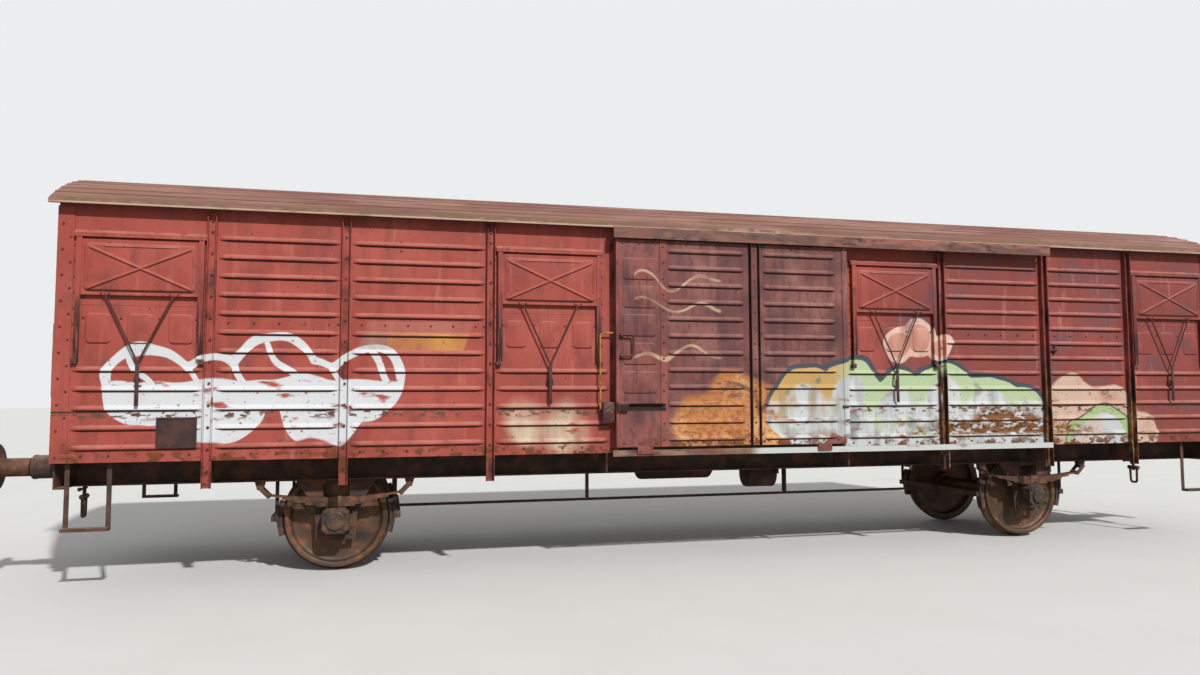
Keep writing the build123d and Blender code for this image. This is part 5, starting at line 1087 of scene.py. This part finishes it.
class WAGON_OT_wheelsets(bpy.types.Operator):
    """Turn the wheels and axles"""

    bl_idname = "wagon.wheelsets"
    bl_label = "Wheelsets"

    def execute(self, context):
        wheel = turned(WHEEL_OUTLINE, context.scene.wagon_sheet_sizes.wheel_segments)
        axle = turned(mirrored(HALF_AXLE), 40)
        for end, x in (("left", -AXLE_X), ("right", AXLE_X)):
            middle = Matrix.Translation((x * MM, 0, AXLE_Z * MM))
            wheelset = Form()
            for way in (NO_TURN, TURNED):
                wheelset.face = middle @ way
                wheelset.stamp(wheel, turn=rotation(-90, "X"))
            wheelset.face = middle
            wheelset.stamp(axle, turn=rotation(-90, "X"))
            name = f"wheelset_turned_{end}"
            made = wheelset.link(name, "wheel_steel", "wheel_steel", f"{end}_wheelset", crease=40)
            made.data.materials.append(surface("tread_steel"))
            for polygon in made.data.polygons:
                place = (polygon.center - middle.translation) / MM
                inner, outer = TREAD_SPAN
                if math.hypot(place.x, place.z) > TREAD_RADIUS and inner < abs(place.y) < outer:
                    polygon.material_index = 1
            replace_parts(made, f"wheelset_{end}")
        return {"FINISHED"}


class WAGON_OT_running_gear(bpy.types.Operator):
    """Forge the leaf springs and finish the axleboxes"""

    bl_idname = "wagon.running_gear"
    bl_label = "Springs and axleboxes"

    def execute(self, context):
        head = bolt_head(34, 14)
        leaves = [self.leaf(number) for number in range(5)]
        buckle = bar((-54, 649, 946), (54, 757, 1054), edge=6)
        eye = pin(24, 44, edge=3, steps=20)
        cover = turned(AXLEBOX_COVER, 36)
        springs = Form()
        boxes = Form()
        for face in SIDES.values():
            springs.face = boxes.face = face
            for x in both(AXLE_X):
                for shape in (*leaves, buckle):
                    springs.stamp(shape, [(x, 0)])
                springs.stamp(eye, SPRING_EYES, SPRING_OUT, (x, 0))
                boxes.stamp(cover, [(x, AXLE_Z)], AXLEBOX_OUT)
                boxes.stamp(head, BOX_BOLTS, AXLEBOX_OUT + 2, (x, AXLE_Z))
        made = springs.link("leaf_springs_forged", "rusty_steel", "frame_paint")
        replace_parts(made, "leaf_springs")
        boxes.link("axlebox_covers", "cast_parts", "cast_parts")
        return {"FINISHED"}

    def leaf(self, number):
        """One leaf of the spring, counted from the top and bent to the pack's curve."""
        half = SPRING_HALF - number * LEAF_STEP
        thick, wide = LEAF_SECTION
        bm = bmesh.new()
        bmesh.ops.create_cube(bm, size=1.0)
        length = [edge for edge in bm.edges if abs(edge.verts[0].co.x - edge.verts[1].co.x) > 0.5]
        bmesh.ops.subdivide_edges(bm, edges=length, cuts=11, use_grid_fill=True)
        for vert in bm.verts:
            along = vert.co.x * 2 * half
            top = SPRING_TOP + SPRING_RISE * (along / SPRING_HALF) ** 2 - number * LEAF_PITCH
            up = top - LEAF_PITCH / 2 + vert.co.y * thick
            vert.co = (along * MM, up * MM, (SPRING_OUT + vert.co.z * wide) * MM)
        return stencil(bm)


class WAGON_OT_buffers(bpy.types.Operator):
    """Turn the buffers' heads, plungers and casings"""

    bl_idname = "wagon.buffers"
    bl_label = "Buffers"

    def execute(self, context):
        plunger = turned(BUFFER_HEAD, 48)
        sleeve = turned(BUFFER_SLEEVE, 40)
        plate = bar((-164, -139, 6383), (164, 139, 6401), edge=5)
        bolt = bolt_head(34, 13)
        heads = Form()
        casings = Form()
        for face in ENDS.values():
            heads.face = casings.face = face
            for place in BUFFERS:
                heads.stamp(plunger, [place])
                casings.stamp(sleeve, [place])
                casings.stamp(plate, [place])
                casings.stamp(bolt, CASING_BOLTS, PLATE_OUT, place)
        made = heads.link("buffer_heads", "rusty_steel", "rusty_steel", crease=40)
        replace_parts(made, "buffer_plungers")
        made = casings.link("buffer_sleeves", "cast_parts", "cast_parts", crease=40)
        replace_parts(made, "buffer_casings")
        return {"FINISHED"}


class WAGON_OT_draw_gear(bpy.types.Operator):
    """Forge the draw hooks and the screw couplings"""

    bl_idname = "wagon.draw_gear"
    bl_label = "Draw gear"

    def execute(self, context):
        across = rotation(90, "Y")
        plate = bar((-130, 998, 6381), (130, 1178, 6400), edge=5)
        shank = bar((-25, 1044, 6392), (25, 1112, 6602), edge=9)
        horn = self.horn()
        bolt = bolt_head(30, 11)
        hook_pin = pin(18, 75, edge=3, steps=20)
        nut = pin(26, 85, edge=6, steps=24)
        tommy = turned(TOMMY_BAR, 20)
        heights = rows(SCREW_FIRST, SCREW_PITCH / 2, 39)
        threads = [(SCREW_RADIUS - (step % 2) * 3.5, height) for step, height in enumerate(heights)]
        screw = turned([(0, heights[0]), *threads, (0, heights[-1])], 18)
        strap = bar((-9, 866, -22), (9, 1058, 22), edge=5)
        hooks = Form()
        couplings = Form()
        for face in ENDS.values():
            hooks.face = couplings.face = face
            hooks.stamp(plate)
            hooks.stamp(shank)
            hooks.stamp(horn, [HOOK_HORN[:2]], HOOK_HORN[2])
            hooks.stamp(bolt, HOOK_BOLTS, PLATE_OUT)
            hooks.stamp(hook_pin, [(0, HOOK_PIN_Z)], COUPLING_OUT, turn=across)
            couplings.stamp(nut, COUPLING_NUTS, COUPLING_OUT, turn=across)
            couplings.stamp(tommy, [(0, TOMMY_Z)], COUPLING_OUT, turn=across)
            couplings.stamp(screw, out=COUPLING_OUT, turn=rotation(-90, "X"))
            couplings.stamp(strap, COUPLING_STRAPS, COUPLING_OUT)
            couplings.tube(COUPLING_BOW, BOW_ROD, bend=34)
        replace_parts(hooks.link("draw_hooks_forged", "rusty_steel", "rusty_steel", crease=40), "draw_hooks")
        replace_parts(couplings.link("couplings_forged", "rusty_steel", "rusty_steel"), "screw_couplings")
        return {"FINISHED"}

    def horn(self):
        """The hook's open ring: a rounded section led down, round and up to a blunt point."""
        bm = bmesh.new()
        section = bmesh.ops.create_circle(bm, cap_ends=True, segments=16, radius=1)["verts"]
        bmesh.ops.scale(bm, vec=(24 * MM, 21 * MM, 1), verts=section)
        bmesh.ops.rotate(bm, cent=(0, 0, 0), matrix=Matrix.Rotation(math.radians(90), 3, "X"), verts=section)
        bmesh.ops.translate(bm, vec=(0, 0, -58 * MM), verts=section)
        path = dict(cent=(0, 0, 0), axis=(1, 0, 0), angle=math.radians(-255), steps=30)
        end = bmesh.ops.spin(bm, geom=bm.verts[:] + bm.edges[:] + bm.faces[:], **path)["geom_last"]
        tip = [item for item in end if isinstance(item, bmesh.types.BMVert)]
        middle = sum((vert.co for vert in tip), Vector()) / len(tip)
        bmesh.ops.scale(bm, vec=(0.7, 0.7, 0.7), space=Matrix.Translation(-middle), verts=tip)
        bmesh.ops.holes_fill(bm, edges=[edge for edge in bm.edges if edge.is_boundary], sides=0)
        return stencil(bm)


class WAGON_OT_brake_vessels(bpy.types.Operator):
    """Round the brake cylinder and the air reservoir, and bolt the axle guards"""

    bl_idname = "wagon.brake_vessels"
    bl_label = "Brake vessels and frame bolts"

    def execute(self, context):
        vessels = Form()
        vessels.stamp(turned(BRAKE_CYLINDER, 48), out=CYLINDER_OUT, turn=rotation(90, "Y"))
        reservoir = turned(mirrored(HALF_RESERVOIR), 48)
        vessels.stamp(reservoir, [RESERVOIR[:2]], RESERVOIR[2], turn=rotation(90, "Y"))
        vessels.stamp(bar((1051, -220, 784), (1079, 220, 973), edge=4))
        vessels.stamp(bar((-34, 481, 874), (34, 639, 1092), edge=4))
        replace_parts(vessels.link("brake_vessels_turned", "frame_paint", "frame_paint"), "brake_vessels")
        head = bolt_head(30, 12)
        bolts = Form()
        for face in SIDES.values():
            bolts.face = face
            for x in both(AXLE_X):
                bolts.stamp(head, GUARD_BOLTS, GUARD_OUT + 10, (x, 0))
                bolts.stamp(head, KEEP_BOLTS, GUARD_OUT, (x, 0))
        for face in ENDS.values():
            bolts.face = face
            bolts.stamp(head, HEADSTOCK_BOLTS, SHEET_END)
        bolts.link("frame_bolts", "frame_paint", "frame_paint")
        return {"FINISHED"}


class WAGON_OT_handrails(bpy.types.Operator):
    """Bend the grab rails by the doors and at the ends"""

    bl_idname = "wagon.handrails"
    bl_label = "Grab rails"

    def execute(self, context):
        rails = Form()
        for face in SIDES.values():
            rails.face = face
            rails.tube(SIDE_GRAB_RAIL, GRAB_ROD, bend=40)
        for face in ENDS.values():
            rails.face = face
            for x in both(END_GRAB_X):
                rails.tube([(x, z, out) for z, out in END_GRAB_RAIL], GRAB_ROD, bend=34)
        made = rails.link("grab_rails", "grab_yellow", "grab_yellow")
        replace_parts(made, "handrails")
        return {"FINISHED"}


# Nodes whose finish isn't simply that of their slot
NODE_FINISHES = {
    "door_rail_covers": "rail_paint",
    "door_foot_rails": "rail_paint",
    "side_posts": "post_paint",
    "end_posts": "post_paint",
    "door_jambs": "post_paint",
    "hatch_frames": "guide_paint",
}


class WAGON_OT_finishes(bpy.types.Operator):
    """Give every carried-over CAD node its finish"""

    bl_idname = "wagon.finishes"
    bl_label = "Finishes"

    def execute(self, context):
        slots = {part["node"]: part["material_slot"] for part in frame["record"]["subparts"]}
        for name, node in frame["nodes"].items():
            node.data.materials.clear()
            node.data.materials.append(surface(NODE_FINISHES.get(name, slots[name])))
        return {"FINISHED"}


class WAGON_OT_stage(bpy.types.Operator):
    """Set the floor, lights, backdrop and camera"""

    bl_idname = "wagon.stage"
    bl_label = "Stage"

    def execute(self, context):
        scene = context.scene
        scene.view_settings.view_transform = "Standard"
        bm = bmesh.new()
        bmesh.ops.create_circle(bm, cap_ends=True, segments=64, radius=160)
        mesh = bpy.data.meshes.new("studio_floor")
        bm.to_mesh(mesh)
        bm.free()
        look = Finish("Pale studio floor", scene.wagon_colours.floor)
        look.coat("#DDDCD7", look.lumps(900, 0.2, 0.8))
        # What it throws back on the wagon is as little as grass would
        seen = add(look.tree, "LightPath").outputs["Is Camera Ray"]
        colour = look.blend("#96948A", look.colour, seen)
        wire(look.tree, look.shader, {"Base Color": colour, "Roughness": 0.9})
        mesh.materials.append(look.material)
        floor = bpy.data.objects.new("studio_floor", mesh)
        scene.collection.objects.link(floor)
        self.lights(scene)
        self.camera(scene)
        return {"FINISHED"}

    def lights(self, scene):
        """One sun from the upper right, and an even surround that the camera sees as white."""
        lamp = bpy.data.lights.new("soft_sun", "SUN")
        lamp.energy = 3.1
        lamp.angle = math.radians(2)
        sun = bpy.data.objects.new("soft_sun", lamp)
        sun.rotation_euler = (math.radians(52.5), 0, math.radians(17))
        scene.collection.objects.link(sun)
        scene.world = bpy.data.worlds.new("studio")
        scene.world.use_nodes = True
        tree = scene.world.node_tree
        path = add(tree, "LightPath").outputs
        seen = path["Is Camera Ray"]
        for ray in ("Is Glossy Ray", "Is Transmission Ray"):
            seen = add(tree, "Math", {0: seen, 1: path[ray]}, operation="MAXIMUM").outputs[0]
        strength = add(tree, "MapRange", {0: seen, 3: 0.45, 4: 0.92}).outputs[0]
        wire(tree, tree.nodes["Background"], {"Color": linear("#F4F6F8"), "Strength": strength})

    def camera(self, scene):
        """A camera at the photograph's place and angle."""
        data = bpy.data.cameras.new("view")
        data.lens = CAMERA_LENS
        data.sensor_width = 36.0
        data.sensor_fit = "HORIZONTAL"
        data.clip_end = 600
        camera = bpy.data.objects.new("view", data)
        scene.collection.objects.link(camera)
        yaw, pitch, roll = (math.radians(angle) for angle in CAMERA_ANGLES)
        level = Matrix.Rotation(-yaw, 4, "Z") @ Matrix.Rotation(math.pi / 2 + pitch, 4, "X")
        camera.matrix_world = Matrix.Translation(CAMERA_PLACE) @ (level @ Matrix.Rotation(roll, 4, "Z"))
        scene.camera = camera


class WAGON_PT_panel(bpy.types.Panel):
    """The steps that dress the wagon"""

    bl_idname = "WAGON_PT_panel"
    bl_label = "Covered goods wagon"
    bl_space_type = "VIEW_3D"
    bl_region_type = "UI"
    bl_category = "Wagon"

    def draw(self, context):
        layout = self.layout
        for group in (context.scene.wagon_sheet_sizes, context.scene.wagon_colours):
            for key in group.__annotations__:
                layout.prop(group, key)
        for step in STEPS:
            layout.operator(step.bl_idname)


STEPS = (
    WAGON_OT_finishes,
    WAGON_OT_wall_pressings,
    WAGON_OT_wall_bolts,
    WAGON_OT_shutters,
    WAGON_OT_hatch_fittings,
    WAGON_OT_doors,
    WAGON_OT_roof,
    WAGON_OT_wheelsets,
    WAGON_OT_running_gear,
    WAGON_OT_buffers,
    WAGON_OT_draw_gear,
    WAGON_OT_brake_vessels,
    WAGON_OT_handrails,
    WAGON_OT_stage,
)
CLASSES = (WagonSheetSizes, WagonColours, *STEPS, WAGON_PT_panel)


def register():
    for item in CLASSES:
        bpy.utils.register_class(item)
    bpy.types.Scene.wagon_sheet_sizes = PointerProperty(type=WagonSheetSizes)
    bpy.types.Scene.wagon_colours = PointerProperty(type=WagonColours)


def unregister():
    del bpy.types.Scene.wagon_colours
    del bpy.types.Scene.wagon_sheet_sizes
    for item in reversed(CLASSES):
        bpy.utils.unregister_class(item)


def main():
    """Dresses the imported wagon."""
    register()
    bpy.ops.wagon.finishes()
    bpy.ops.wagon.wall_pressings()
    bpy.ops.wagon.wall_bolts()
    bpy.ops.wagon.shutters()
    bpy.ops.wagon.hatch_fittings()
    bpy.ops.wagon.doors()
    bpy.ops.wagon.roof()
    bpy.ops.wagon.wheelsets()
    bpy.ops.wagon.running_gear()
    bpy.ops.wagon.buffers()
    bpy.ops.wagon.draw_gear()
    bpy.ops.wagon.brake_vessels()
    bpy.ops.wagon.handrails()
    bpy.ops.wagon.stage()
    for mesh in [mesh for mesh in bpy.data.meshes if not mesh.users]:
        bpy.data.meshes.remove(mesh)


if __name__ == "__main__":
    main()
